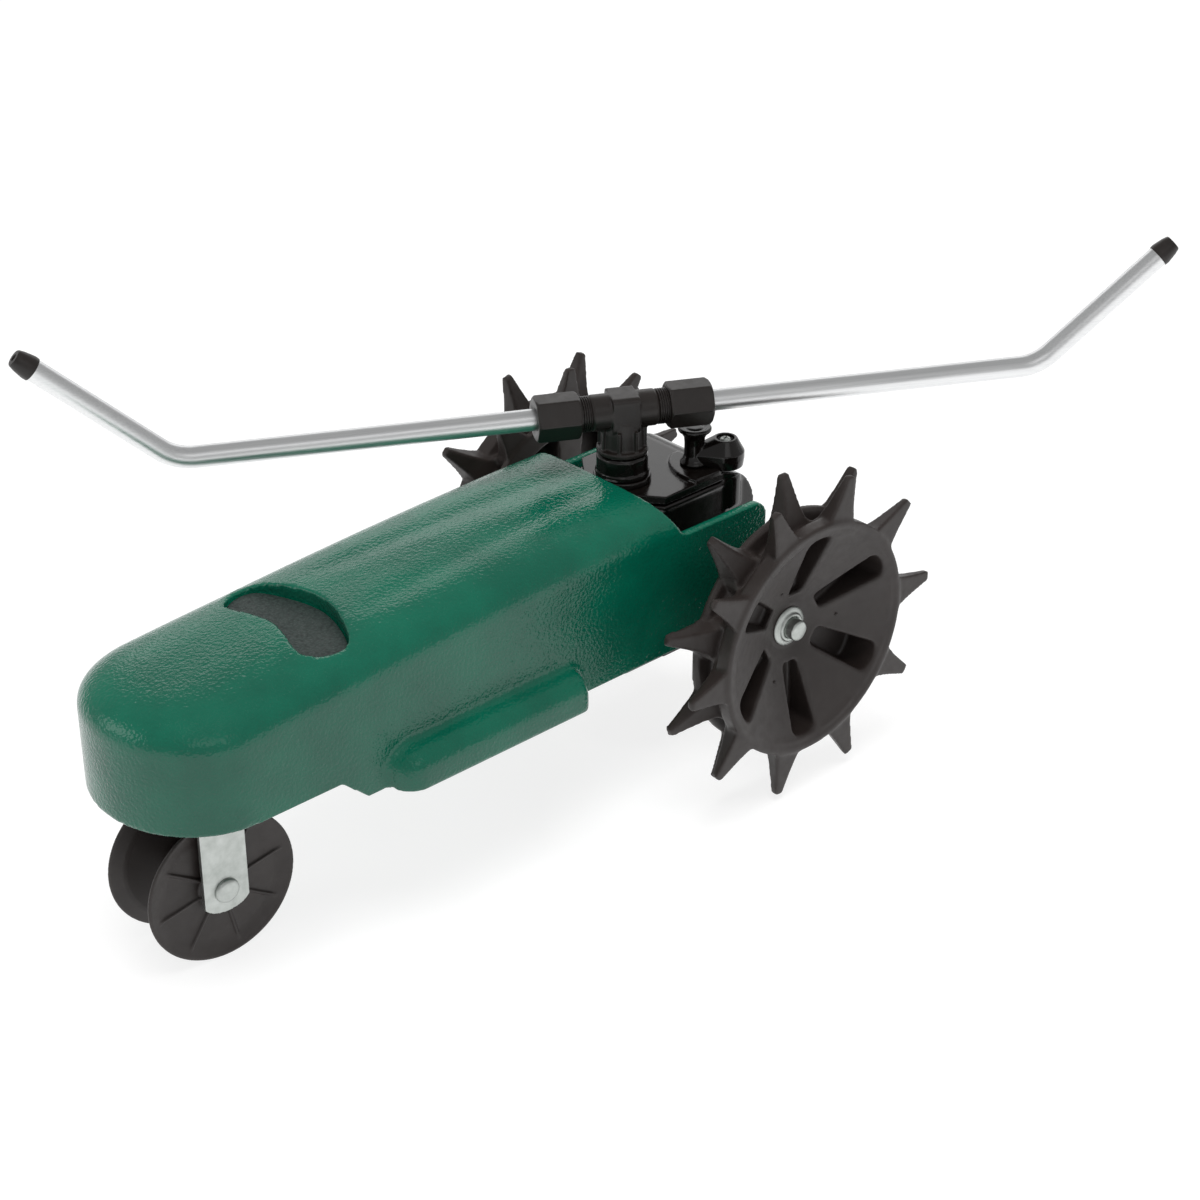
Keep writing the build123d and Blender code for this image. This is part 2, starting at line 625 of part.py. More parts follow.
def spiked_wheel(phase, inner_phase):
    """Left rear wheel: dished web with six slots, stepped tread, two staggered rows of spikes."""
    rim = [
        (RIM_INNER_R, WHEEL_IN_Y),
        (RIM_R, WHEEL_IN_Y),
        (RIM_R, WHEEL_IN_Y + 4.0),
        (DRUM_R, WHEEL_IN_Y + 6.0),
        (DRUM_R, WHEEL_OUT_Y - 16.0),
        (RIM_R, WHEEL_OUT_Y - 10.0),
        (RIM_R, WHEEL_OUT_Y),
        (RIM_R - 4.0, WHEEL_OUT_Y),
        (HUB_R, HUB_OUT_Y),
        (AXLE_R, HUB_OUT_Y),
        (AXLE_R, HUB_IN_Y),
        (HUB_R, HUB_IN_Y),
        (HUB_R, HUB_OUT_Y - 4.5),
        (RIM_INNER_R, WHEEL_OUT_Y - 10.5),
    ]
    wheel = turned(rim)
    spikes = []
    for row, first in ((1, phase), (-1, inner_phase)):
        for k in range(SPIKES):
            spikes.append(Rot(0, -(first - 36.0 * k), 0) * spike(row))
    wheel = wheel + spikes
    inner_y = WHEEL_IN_Y + 1
    web = turned([(HUB_R, inner_y), (RIM_INNER_R, inner_y), (RIM_INNER_R, 114.0), (HUB_R, 98.0)])
    slots = []
    for k in range(SPOKE_GAPS):
        stand = Rot(0, WINDOW_PHASE + 60.0 * k, 0) * Pos(0, 140.0, 0) * Rot(90, 0, 0)
        wheel += (stand * extrude(window(2.0), amount=60.0, dir=Z)) & web
        slots.append(stand * extrude(window(0.0), amount=45.0, dir=Z))
    wheel = wheel - slots
    wheel -= block(-11.7, 11.7, HUB_IN_Y - 1, HUB_IN_Y + 4.6, -2.1, 2.1)
    return Pos(0, 0, AXLE_Z) * wheel


def window(grow):
    """Outline of one slot in the wheel's web, along +X, with walls of thickness grow."""
    near = 20.0 - grow
    far = 57.0 + 0.6 * grow
    slot = Polyline(
        (near, -7.4 - grow),
        (far, -11.0 - grow),
        (60.5 + grow, 0),
        (far, 11.0 + grow),
        (near, 7.4 + grow),
        close=True,
    )
    return make_face(slot)


def spike(row):
    """One spike pointing along +X, flush with the wheel's outer (row 1) or inner (row -1) face."""
    face_y = WHEEL_OUT_Y if row > 0 else WHEEL_IN_Y
    root_r = DRUM_R + 1.0
    sections = []
    for r, wide, deep in ((root_r, 30.0, 13.0), (RIM_R + 4.0, 17.0, 9.0), (SPIKE_R, 5.0, 4.0)):
        y0 = face_y - row * deep
        corners = [(r, face_y, -wide / 2), (r, face_y, wide / 2)]
        corners += [(r, y0, wide / 2 - 1), (r, y0, -wide / 2 + 1)]
        sections.append(Face(Wire.make_polygon(corners, close=True)))
    return loft(sections, ruled=True)


# ---- front guide wheel -------------------------------------------------------------------------
def steered(shape):
    """Turn a fork or guide-wheel part by the parked steering angle."""
    return Pos(FORK_X, 0, 0) * Rot(0, 0, STEER) * shape


def fork():
    plate = [(-13.5, 98.0), (13.5, 98.0), (13.5, 36.0), (8.0, 32.6)]
    plate += [(0.0, 31.4), (-8.0, 32.6), (-13.5, 36.0)]
    strap = side_prism(plate, -26.0, 26.0) - block(-30, 30, -23.5, 23.5, 20.0, 95.5)
    strap -= rod(KINGPIN_R + RUN_CLEAR, (0, 0, 80), Z, 30.0)
    strap -= rod(4.0, (0, -40, GUIDE_R), Y, 80.0)
    return steered(strap)


def kingpin():
    pin = rod(KINGPIN_R, (FORK_X, 0, 95.0), Z, 38.0) + rod(8.0, (FORK_X, 0, 91.6), Z, 3.6)
    return pin


def fork_washer():
    return tube(11.0, KINGPIN_R, (FORK_X, 0, 98.2), Z, 2.3)


def guide_axle():
    pin = rod(4.0, (0, -26.0, GUIDE_R), Y, 52.0)
    for side in (-1, 1):
        pin += cone(7.2, 5.8, (0, 26.0 * side, GUIDE_R), (0, side, 0), 2.6)
    return steered(pin)


def guide_disc():
    """Left disc: shallow dish with a rim lip and eight ribs on its outer face."""
    outline = [
        (4.06, GUIDE_GAP_HALF),
        (36.0, GUIDE_GAP_HALF),
        (GUIDE_R, GUIDE_HALF - 2.4),
        (GUIDE_R, GUIDE_HALF),
        (GUIDE_R - 2.0, GUIDE_HALF),
        (35.0, GUIDE_GAP_HALF + 2.4),
        (12.0, GUIDE_GAP_HALF + 2.4),
        (10.0, GUIDE_HALF),
        (4.06, GUIDE_HALF),
    ]
    disc = turned(outline)
    for k in range(8):
        strip = [(9.0, -0.7), (40.5, -0.7), (40.5, 0.7), (9.0, 0.7)]
        rib = side_prism(strip, GUIDE_GAP_HALF + 1.0, GUIDE_HALF - 1.0)
        disc += Rot(0, 45 * k + 12, 0) * rib
    return disc


def guide_hub():
    return steered(Pos(0, 0, GUIDE_R) * tube(11.0, 4.06, (0, -GUIDE_GAP_HALF, 0), Y, 2 * GUIDE_GAP_HALF))


# ---- speed lever -------------------------------------------------------------------------------
def speed_lever():
    hub = cone(11.4, 6.8, (LEVER_X, LEVER_Y, 180.0), Z, 12.5)
    reach = hypot(KNOB_X - LEVER_X, KNOB_Y - LEVER_Y)
    toward = degrees(atan2(KNOB_Y - LEVER_Y, KNOB_X - LEVER_X))
    outline = Polyline((0, -10.5), (reach, -5.5), (reach, 5.5), (0, 10.5), close=True)
    arm = extrude(make_face(outline), amount=5.0, dir=Z)
    arm = Pos(LEVER_X, LEVER_Y, 180.0) * Rot(0, 0, toward) * arm
    knob = rod(6.0, (KNOB_X, KNOB_Y, 177.3), Z, 22.0) + cone(8.5, 6.0, (KNOB_X, KNOB_Y, 177.3), Z, 3.0)
    knob += cone(6.0, 10.0, (KNOB_X, KNOB_Y, 195.0), Z, 3.5) + rod(10.0, (KNOB_X, KNOB_Y, 198.5), Z, 2.2)
    knob -= rod(5.5, (KNOB_X, KNOB_Y, 199.7), Z, 5.0)
    lever = hub + arm + knob + rod(3.0, (LEVER_X, LEVER_Y, 158.0), Z, 23.0)
    lever += rod(2.0, (LEVER_X, LEVER_Y, 154.0), Z, 5.0)
    lever -= rod(5.2, (LEVER_X, LEVER_Y, 190.4), Z, 5.0)
    return lever - rod(1.4, (LEVER_X, LEVER_Y, 178.0), Z, 20.0)


def lever_screw():
    screw = rod(1.4, (LEVER_X, LEVER_Y, 179.0), Z, 11.6) + rod(3.4, (LEVER_X, LEVER_Y, 190.4), Z, 2.0)
    return screw - cross_slot(LEVER_X, LEVER_Y, 192.4, 2.1)


def shift_finger():
    toward = degrees(atan2(KNOB_Y - LEVER_Y, KNOB_X - LEVER_X))
    finger = block(0, 20.0, -2.5, 2.5, 0, 3.0) + rod(3.4, (0, 0, 0), Z, 3.0)
    finger = Pos(LEVER_X, LEVER_Y, 154.5) * Rot(0, 0, toward) * finger
    return finger - rod(2.0, (LEVER_X, LEVER_Y, 150.0), Z, 20.0)


# ---- hand over ---------------------------------------------------------------------------------
def write_parts():
    os.makedirs("parts", exist_ok=True)
    head = head_place()
    flip = Rot(0, 0, 180)
    guide = Pos(0, 0, GUIDE_R)
    nodes = {
        "cast_body": cast_body(),
        "grip_pad": grip_pad(),
        "gearbox_housing": gearbox_housing(),
        "gearbox_cover": gearbox_cover(),
        "cover_screws": cover_screws(),
        "housing_bolts": housing_bolts(),
        "neck_ring": neck_ring(),
        "gland_nut": gland_nut(),
        "spindle_bush": spindle_bush(),
        "neck_seal": neck_seal(),
        "axle_bushes": axle_bushes(),
        "inlet_manifold": inlet_manifold(),
        "lower_bush": lower_bush(),
        "manifold_screws": manifold_screws(),
        "valve_cap": valve_cap(),
        "valve_plunger": valve_plunger(),
        "valve_disc": valve_disc(),
        "valve_spring": valve_spring(),
        "inlet_tailpiece": inlet_tailpiece(),
        "hose_nut": hose_nut(),
        "hose_washer": hose_washer(),
        "filter_screen": filter_screen(),
        "tee": head * tee(),
        "arm_nuts": [head * nut for nut in arm_nuts()],
        "ferrules": [head * ring for ring in ferrules()],
        "front_arm": head * arm_tube(),
        "rear_arm": head * flip * arm_tube(),
        "front_nozzle": head * nozzle(),
        "rear_nozzle": head * flip * nozzle(),
        "spindle_tube": head * spindle_tube(),
        "worm": head * worm(),
        "countershaft": countershaft(),
        "worm_wheel": worm_wheel(),
        "pinion": pinion(),
        "drive_axle": drive_axle(),
        "axle_gear": axle_gear(),
        "drive_pins": drive_pins(),
        "wheel_spacers": wheel_spacers(),
        "wheel_caps": wheel_caps(),
        "left_wheel": spiked_wheel(LEFT_PHASE, LEFT_PHASE - 54.0),
        "right_wheel": mirrored(spiked_wheel(RIGHT_PHASE, RIGHT_PHASE + 54.0)),
        "fork": fork(),
        "kingpin": kingpin(),
        "fork_washer": fork_washer(),
        "guide_axle": guide_axle(),
        "left_guide_disc": steered(guide * guide_disc()),
        "right_guide_disc": steered(guide * mirrored(guide_disc())),
        "guide_hub": guide_hub(),
        "speed_lever": speed_lever(),
        "lever_screw": lever_screw(),
        "shift_finger": shift_finger(),
    }
    for name, made in nodes.items():
        pieces = made if isinstance(made, list) else [made]
        solids = [solid for piece in pieces for solid in piece.solids()]
        shape = solids[0] if len(solids) == 1 else Compound(children=solids)
        export_step(Pos(-BOX_MID_X, 0, 0) * shape, f"parts/{name}.step")


write_parts()
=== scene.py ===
import json
from math import cos, exp, pi, radians, sin, sqrt, tan

import bmesh
import bpy
from mathutils import Matrix, Vector


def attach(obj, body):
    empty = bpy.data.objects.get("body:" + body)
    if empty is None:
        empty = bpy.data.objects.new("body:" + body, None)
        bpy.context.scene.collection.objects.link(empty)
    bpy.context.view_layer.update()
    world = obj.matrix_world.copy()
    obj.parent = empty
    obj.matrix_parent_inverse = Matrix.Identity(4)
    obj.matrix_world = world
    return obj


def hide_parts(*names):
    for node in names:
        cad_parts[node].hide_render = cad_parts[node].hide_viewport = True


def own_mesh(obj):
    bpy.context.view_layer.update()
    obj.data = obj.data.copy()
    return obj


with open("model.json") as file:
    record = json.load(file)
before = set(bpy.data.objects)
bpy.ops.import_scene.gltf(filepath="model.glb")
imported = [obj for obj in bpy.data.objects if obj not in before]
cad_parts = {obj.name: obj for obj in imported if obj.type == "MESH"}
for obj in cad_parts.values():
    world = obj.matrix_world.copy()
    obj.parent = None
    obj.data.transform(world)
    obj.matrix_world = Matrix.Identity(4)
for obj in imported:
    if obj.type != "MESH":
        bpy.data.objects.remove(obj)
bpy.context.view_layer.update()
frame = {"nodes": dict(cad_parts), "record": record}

# Shapes are drawn in millimetres from the point on the ground under the rear axle, +X towards the
# nose, and moved to the frame's own place (metres, middle of the footprint) when a piece is finished.
BOX_MID_X = 72.35
TO_FRAME = Matrix.Scale(0.001, 4) @ Matrix.Translation((-BOX_MID_X, 0, 0))

# rear wheels
AXLE_Z = 100.0
RIM_R = 73.0
RIM_INNER_R = 58.5
DRUM_R = 63.0
HUB_R = 14.0
WHEEL_OUT_Y = 121.5
WHEEL_IN_Y = 92.0
SPIKES = 10
WINDOWS = 6
FIRST_WINDOW = radians(27)

# cast body, and the long half-round swelling on each of its flanks
BODY_HALF = 60.0
WALL = 5.5
BODY_REAR_X = -19.5
NOSE_X = 404.6
NOSE_START_X = 352.0
BODY_LOW_Z = 88.0
HOOD_EDGE_X = 61.0
CROWN_REAR_Z = 184.0
CROWN_FALL = 17.0
SHOULDER_DROP = 21.0
SWELL_REAR_X = 140.0
SWELL_REAR_ROUND = 9.0
SWELL_FRONT_X = 252.0
SWELL_FRONT_ROUND = 16.0
SWELL_OUT = 16.0
SWELL_TOP_Z = 111.0
SWELL_ROLL = 12.0

# gearbox, its lever and the spray head
BOX_HALF = 36.0
BOX_FRONT_X = 58.0
BOX_REAR_X = -33.5
BOX_LOW_Z = 68.0
BOX_TOP_Z = 174.5
BOX_BACK_R = 28.5
LEVER = (-15.0, 29.0)
LEVER_POST_R = 9.9
KNOB = (-0.3, 18.0)
SWIVEL_X = 41.0
ARM_Z = 218.0
ARM_HEADING = radians(-28.3)
TUBE_R = 6.35
ARM_NUT_HALF = 24.5 / 2
PACKING_NUT_HALF = 15.1

# guide wheel and shut-off valve
FORK_X = 351.0
FORK_HALF_WIDTH = 13.5
GUIDE_R = 44.8
STEER = radians(-4.0)
VALVE_X = -40.0

# camera: what it looks at, how far off and from where (metres, radians), and its lens
LOOK_AT = (-0.013683, 0, 0.098994)
CAMERA_DISTANCE = 1.520919
CAMERA_AROUND = 0.8243529302
CAMERA_ABOVE = 0.5099399814
FOCAL_MM = 76.5680814927

MOST_TRIANGLES = 190000
QUARTER = pi / 2


# ---- colours and materials ---------------------------------------------------------------------
def paint(code):
    """sRGB hex to linear RGBA."""
    channels = [int(code[i:i + 2], 16) / 255 for i in (0, 2, 4)]
    return [c / 12.92 if c <= 0.04045 else ((c + 0.055) / 1.055) ** 2.4 for c in channels] + [1.0]


def add(tree, kind, settings=None, **inputs):
    """One node with its settings; an input is a value or another node's output."""
    made = tree.nodes.new(kind)
    for key, value in (settings or {}).items():
        setattr(made, key, value)
    for key, value in inputs.items():
        socket = made.inputs[int(key[1:])] if key[1:].isdigit() else made.inputs[key.replace("_", " ")]
        if isinstance(value, bpy.types.NodeSocket):
            tree.links.new(value, socket)
        else:
            socket.default_value = value
    return made


def per_mm(size):
    """Pattern scale for a feature of this size in mm, on coordinates in metres."""
    return 1000.0 / size


def new_material(name):
    made = bpy.data.materials.new(name)
    made.use_nodes = True
    tree = made.node_tree
    tree.nodes.clear()
    shader = add(tree, "ShaderNodeBsdfPrincipled")
    out = add(tree, "ShaderNodeOutputMaterial")
    tree.links.new(shader.outputs[0], out.inputs[0])
    place = add(tree, "ShaderNodeTexCoord").outputs["Object"]
    return made, tree, shader, place


def ramp(tree, value, stops):
    made = add(tree, "ShaderNodeValToRGB", Fac=value)
    while len(made.color_ramp.elements) < len(stops):
        made.color_ramp.elements.new(0.5)
    for element, (at, colour) in zip(made.color_ramp.elements, stops):
        element.position = at
        element.color = colour if isinstance(colour, list) else [colour, colour, colour, 1.0]
    return made.outputs["Color"]


def noise(tree, place, size, detail=3.0):
    made = add(tree, "ShaderNodeTexNoise", Vector=place, Scale=per_mm(size), Detail=detail, Roughness=0.55)
    return made.outputs[0]


def feed(tree, shader, **sources):
    """Wire outputs to the shader's sockets; an underscore stands for a space in a socket's name."""
    for socket, source in sources.items():
        tree.links.new(source, shader.inputs[socket.replace("_", " ")])


def powder_coat_green():
    """Gloss green powder coat baked on a sand casting: fine orange peel over a soft cast waviness."""
    made, tree, shader, place = new_material("powder_coat_on_sand_cast_iron")
    shader.inputs["IOR"].default_value = 1.5
    waves = add(tree, "ShaderNodeBump", Strength=0.25, Distance=0.0005, Height=noise(tree, place, 14.0, 1.0))
    peel = add(tree, "ShaderNodeBump", Strength=0.8, Distance=0.0006, Height=noise(tree, place, 2.0, 1.5),
               Normal=waves.outputs[0])
    feed(tree, shader,
         Base_Color=ramp(tree, noise(tree, place, 38.0), [(0.35, paint("005340")), (0.7, paint("005F49"))]),
         Roughness=ramp(tree, noise(tree, place, 9.0), [(0.3, 0.11), (0.75, 0.16)]),
         Normal=peel.outputs[0])
    return made


def moulded_black(name, light, dark, low, high, grain):
    """Black injection moulding: fine spark-eroded grain, faint flow marks."""
    made, tree, shader, place = new_material(name)
    shader.inputs["IOR"].default_value = 1.49
    bump = add(tree, "ShaderNodeBump", Strength=grain, Distance=0.0001, Height=noise(tree, place, 0.9))
    feed(tree, shader,
         Base_Color=ramp(tree, noise(tree, place, 24.0, 4.0), [(0.35, paint(dark)), (0.7, paint(light))]),
         Roughness=ramp(tree, noise(tree, place, 5.0), [(0.3, low), (0.75, high)]),
         Normal=bump.outputs[0])
    return made


def plated_zinc():
    """Bright zinc plate on mild steel: cool white with a cloudy spangle and soft rolling lines."""
    made, tree, shader, place = new_material("zinc_plated_steel")
    shader.inputs["Metallic"].default_value = 1.0
    spangle = add(tree, "ShaderNodeTexVoronoi", Vector=place, Scale=per_mm(1.7)).outputs["Distance"]
    bump = add(tree, "ShaderNodeBump", Strength=0.2, Distance=0.0001, Height=noise(tree, place, 1.1))
    feed(tree, shader,
         Base_Color=ramp(tree, noise(tree, place, 7.0), [(0.3, paint("AEB3AF")), (0.75, paint("C6CAC7"))]),
         Roughness=ramp(tree, spangle, [(0.1, 0.34), (0.8, 0.46)]),
         Normal=bump.outputs[0])
    return made


def drawn_aluminium():
    """Half-inch aluminium tube, drawn and satin polished: long faint lines down its length."""
    made, tree, shader, place = new_material("drawn_aluminium_tube")
    shader.inputs["Metallic"].default_value = 1.0
    turned = add(tree, "ShaderNodeMapping", Vector=place, Rotation=(0, 0, -ARM_HEADING)).outputs[0]
    lines = add(tree, "ShaderNodeMapping", Vector=turned, Scale=(0.012, 1.0, 1.0)).outputs[0]
    streak = noise(tree, lines, 0.7)
    bump = add(tree, "ShaderNodeBump", Strength=0.12, Distance=0.00005, Height=streak)
    feed(tree, shader,
         Base_Color=ramp(tree, streak, [(0.3, paint("E2E3E4")), (0.75, paint("F2F3F3"))]),
         Roughness=ramp(tree, streak, [(0.3, 0.32), (0.75, 0.4)]),
         Normal=bump.outputs[0])
    return made


def grained_pad():
    """Moulded rubber insert with a leather grain of rounded cells, dull charcoal green."""
    made, tree, shader, place = new_material("leather_grained_rubber")
    cells = add(tree, "ShaderNodeTexVoronoi", {"feature": "SMOOTH_F1"}, Vector=place, Scale=per_mm(1.5))
    cells = cells.outputs["Distance"]
    bump = add(tree, "ShaderNodeBump", {"invert": True}, Strength=0.8, Distance=0.0004, Height=cells)
    feed(tree, shader,
         # painted shade: the colour darkens towards the cell edges, in the grooves where the bump sinks the
         # grain
         Base_Color=ramp(tree, cells, [(0.15, paint("313B38")), (0.75, paint("1E2523"))]),
         Roughness=ramp(tree, noise(tree, place, 3.0), [(0.3, 0.5), (0.75, 0.68)]),
         Normal=bump.outputs[0])
    return made


def turned_metal(name, light, dark, low, high):
    """Machined bar: tiny tool marks and a little cloudiness."""
    made, tree, shader, place = new_material(name)
    shader.inputs["Metallic"].default_value = 1.0
    marks = noise(tree, place, 0.8, 2.0)
    bump = add(tree, "ShaderNodeBump", Strength=0.15, Distance=0.00005, Height=marks)
    feed(tree, shader,
         Base_Color=ramp(tree, noise(tree, place, 6.0), [(0.3, paint(dark)), (0.75, paint(light))]),
         Roughness=ramp(tree, marks, [(0.3, low), (0.75, high)]),
         Normal=bump.outputs[0])
    return made


GREEN = powder_coat_green()
WHEEL_BLACK = moulded_black("talc_filled_polypropylene_moulded", "2E2826", "251F1D", 0.42, 0.54, 0.3)
SATIN_BLACK = moulded_black("acetal_black_moulded", "1F1A18", "171311", 0.34, 0.44, 0.2)
GLOSS_BLACK = moulded_black("abs_black_gloss_moulded", "0E0A08", "090605", 0.14, 0.22, 0.08)
SEAL_BLACK = moulded_black("nitrile_rubber_moulded", "1E1E1E", "161616", 0.55, 0.7, 0.3)
NATURAL_NYLON = moulded_black("nylon_natural_moulded", "D8D2BE", "CFC8B2", 0.38, 0.5, 0.2)
ZINC = plated_zinc()
ALUMINIUM = drawn_aluminium()
PAD = grained_pad()
BRASS = turned_metal("brass_turned_bar", "C9A45C", "B48E48", 0.26, 0.38)
SPRING_STEEL = turned_metal("spring_steel_bright_drawn", "C4C4C2", "A9A9A7", 0.24, 0.34)

SLOT_MATERIAL = {
    "body_powder_coat": GREEN, "zinc": ZINC, "black_gloss": GLOSS_BLACK, "black_satin": SATIN_BLACK,
    "wheel_plastic": WHEEL_BLACK, "grip": PAD, "arm_aluminium": ALUMINIUM, "brass": BRASS,
    "seal_rubber": SEAL_BLACK, "spring_steel": SPRING_STEEL, "nylon": NATURAL_NYLON, "screen": SPRING_STEEL,
}
for entry in frame["record"]["subparts"]:
    cad = frame["nodes"][entry["node"]]
    cad.data.materials.clear()
    cad.data.materials.append(SLOT_MATERIAL[entry["material_slot"]])


# ---- mesh makers: plain closed meshes in millimetres -------------------------------------------
def mesh_of(points, faces):
    made = bpy.data.meshes.new("part")
    made.from_pydata([tuple(p) for p in points], [], faces)
    return made


def moved(mesh, *steps):
    """The mesh after these matrices, the last one first. It is changed in place and given back."""
    matrix = Matrix.Identity(4)
    for step in steps:
        matrix = matrix @ step
    mesh.transform(matrix)
    if matrix.determinant() < 0:
        mesh.flip_normals()
    return mesh


def shift(x, y, z):
    return Matrix.Translation((x, y, z))


def turn(angle, axis):
    return Matrix.Rotation(angle, 4, axis)


def loft(rings, closed=False):
    """Skin over rings of equal length, with flat ends unless the rings close on themselves."""
    count = len(rings[0])
    points = [p for ring in rings for p in ring]
    faces = []
    last = len(rings) if closed else len(rings) - 1
    for i in range(last):
        a = i * count
        b = ((i + 1) % len(rings)) * count
        for j in range(count):
            k = (j + 1) % count
            faces.append((a + j, a + k, b + k, b + j))
    if not closed:
        faces.append(tuple(range(count - 1, -1, -1)))
        faces.append(tuple(range((len(rings) - 1) * count, len(rings) * count)))
    return outward(mesh_of(points, faces))


def outward(mesh):
    work = bmesh.new()
    work.from_mesh(mesh)
    bmesh.ops.remove_doubles(work, verts=work.verts, dist=0.0005)
    bmesh.ops.recalc_face_normals(work, faces=work.faces)
    work.to_mesh(mesh)
    work.free()
    return mesh


def lathe(outline, steps=96):
    """Closed (radius, height) outline turned about Z."""
    rings = []
    for k in range(steps):
        a = 2 * pi * k / steps
        rings.append([(r * cos(a), r * sin(a), h) for r, h in outline])
    return loft(rings, closed=True)


def spun(profile, steps=96):
    """Solid of revolution about Z from (radius, height) pairs, first and last on the axis."""
    rings = [[(max(r, 0.002) * cos(2 * pi * k / steps), max(r, 0.002) * sin(2 * pi * k / steps), h)
              for k in range(steps)] for r, h in profile]
    return loft(rings)


def prism(outline, low, high):
    """Closed (x, y) outline pushed up from low to high."""
    return loft([[(x, y, low) for x, y in outline], [(x, y, high) for x, y in outline]])


def brick(x0, x1, y0, y1, z0, z1):
    return prism([(x0, y0), (x1, y0), (x1, y1), (x0, y1)], z0, z1)


def rounded(corners, radius, steps=7):
    """Outline with its corners rounded; a corner may carry its own radius as a third number."""
    out = []
    count = len(corners)
    for i, corner in enumerate(corners):
        p = Vector(corner[:2])
        r = corner[2] if len(corner) > 2 else radius
        to_last = Vector(corners[i - 1][:2]) - p
        to_next = Vector(corners[(i + 1) % count][:2]) - p
        half = to_last.angle(to_next) / 2
        cut = min(r / tan(half), 0.49 * to_last.length, 0.49 * to_next.length)
        r = cut * tan(half)
        if r < 0.05:
            out.append(tuple(p))
            continue
        middle = p + (to_last.normalized() + to_next.normalized()).normalized() * (r / sin(half))
        a = p + to_last.normalized() * cut - middle
        b = p + to_next.normalized() * cut - middle
        sweep = a.angle_signed(b)
        for k in range(steps + 1):
            t = -sweep * k / steps
            out.append((middle.x + a.x * cos(t) - a.y * sin(t), middle.y + a.x * sin(t) + a.y * cos(t)))
    return out


def pipe(path, radius, steps=48):
    """Round bar along a path of points, cut square at both ends."""
    rings = []
    across = None
    for i, p in enumerate(path):
        ahead = (path[min(i + 1, len(path) - 1)] - path[max(i - 1, 0)]).normalized()
        if across is None:
            across = ahead.orthogonal().normalized()
        across = (across - ahead * across.dot(ahead)).normalized()
        other = ahead.cross(across)
        rings.append([p + (across * cos(2 * pi * k / steps) + other * sin(2 * pi * k / steps)) * radius
                      for k in range(steps)])
    return loft(rings)


def side_plate(points, y0, y1):
    """Outline of (x, z) points pushed across from y0 to y1."""
    return moved(prism(points, -y1, -y0), turn(QUARTER, "X"))


def polygon_r(angle, sides, half):
    """How far the side of a regular polygon is in this direction; half is its least distance."""
    step = 2 * pi / sides
    return half / cos((angle + step / 2) % step - step / 2)


def joined(*meshes):
    work = bmesh.new()
    for mesh in meshes:
        work.from_mesh(mesh)
    made = bpy.data.meshes.new("joined")
    work.to_mesh(made)
    work.free()
    return made


# ---- geometry nodes: one repeater for spikes, windows, pips, ribs and threads --------------------
def repeater():
    """Copies of the incoming piece, each turned about Y and moved along Y from the last."""
    tree = bpy.data.node_groups.new("repeat_about_y", "GeometryNodeTree")
    face = tree.interface
    face.new_socket("Piece", in_out="INPUT", socket_type="NodeSocketGeometry")
    face.new_socket("Count", in_out="INPUT", socket_type="NodeSocketInt")
    for name in ("First Turn", "Turn Each", "Move Each"):
        face.new_socket(name, in_out="INPUT", socket_type="NodeSocketFloat")
    face.new_socket("Finish", in_out="INPUT", socket_type="NodeSocketMaterial")
    face.new_socket("Pieces", in_out="OUTPUT", socket_type="NodeSocketGeometry")
    given = add(tree, "NodeGroupInput").outputs
    index = add(tree, "GeometryNodeInputIndex").outputs[0]
    step = add(tree, "ShaderNodeMath", {"operation": "MULTIPLY_ADD"}, _0=index, _1=given["Turn Each"],
               _2=given["First Turn"]).outputs[0]
    along = add(tree, "ShaderNodeMath", {"operation": "MULTIPLY"}, _0=index, _1=given["Move Each"]).outputs[0]
    points = add(tree, "GeometryNodePoints", Count=given["Count"],
                 Position=add(tree, "ShaderNodeCombineXYZ", Y=along).outputs[0]).outputs[0]
    copies = add(tree, "GeometryNodeInstanceOnPoints", Points=points, Instance=given["Piece"],
                 Rotation=add(tree, "ShaderNodeCombineXYZ", Y=step).outputs[0]).outputs[0]
    solid = add(tree, "GeometryNodeRealizeInstances", Geometry=copies).outputs[0]
    coated = add(tree, "GeometryNodeSetMaterial", Geometry=solid, Material=given["Finish"]).outputs[0]
    tree.links.new(coated, add(tree, "NodeGroupOutput").inputs[0])
    return tree


REPEATER = repeater()


def placed(name, data):
    obj = bpy.data.objects.new(name, data)
    bpy.context.scene.collection.objects.link(obj)
    return obj


def evaluated(obj):
    """The object's mesh with its modifiers applied; the object is removed."""
    bpy.context.view_layer.update()
    graph = bpy.context.evaluated_depsgraph_get()
    made = bpy.data.meshes.new_from_object(obj.evaluated_get(graph), depsgraph=graph)
    obj.modifiers.clear()
    bpy.data.objects.remove(obj)
    return made


def repeated(mesh, count, material, turn_each=0.0, first=0.0, move_each=0.0):
    """Copies of the mesh about or along Y, each the same step from the last."""
    obj = placed("work", mesh)
    modifier = obj.modifiers.new("repeat", "NODES")
    modifier.node_group = REPEATER
    values = {"Count": count, "First Turn": first, "Turn Each": turn_each, "Move Each": move_each,
              "Finish": material}
    for item in REPEATER.interface.items_tree:
        if item.in_out == "INPUT" and item.name in values:
            modifier[item.identifier] = values[item.name]
    return evaluated(obj)


# ---- casting and moulding: overlapping solids melt into one skin with softened edges -------------
def melted(mesh, voxel, soften=0):
    obj = placed("work", mesh)
    skin = obj.modifiers.new("skin", "REMESH")
    skin.mode = "VOXEL"
    skin.voxel_size = voxel
    skin.use_smooth_shade = True
    if soften:
        smoothing = obj.modifiers.new("soften", "SMOOTH")
        smoothing.factor = 0.5
        smoothing.iterations = soften
    return evaluated(obj)


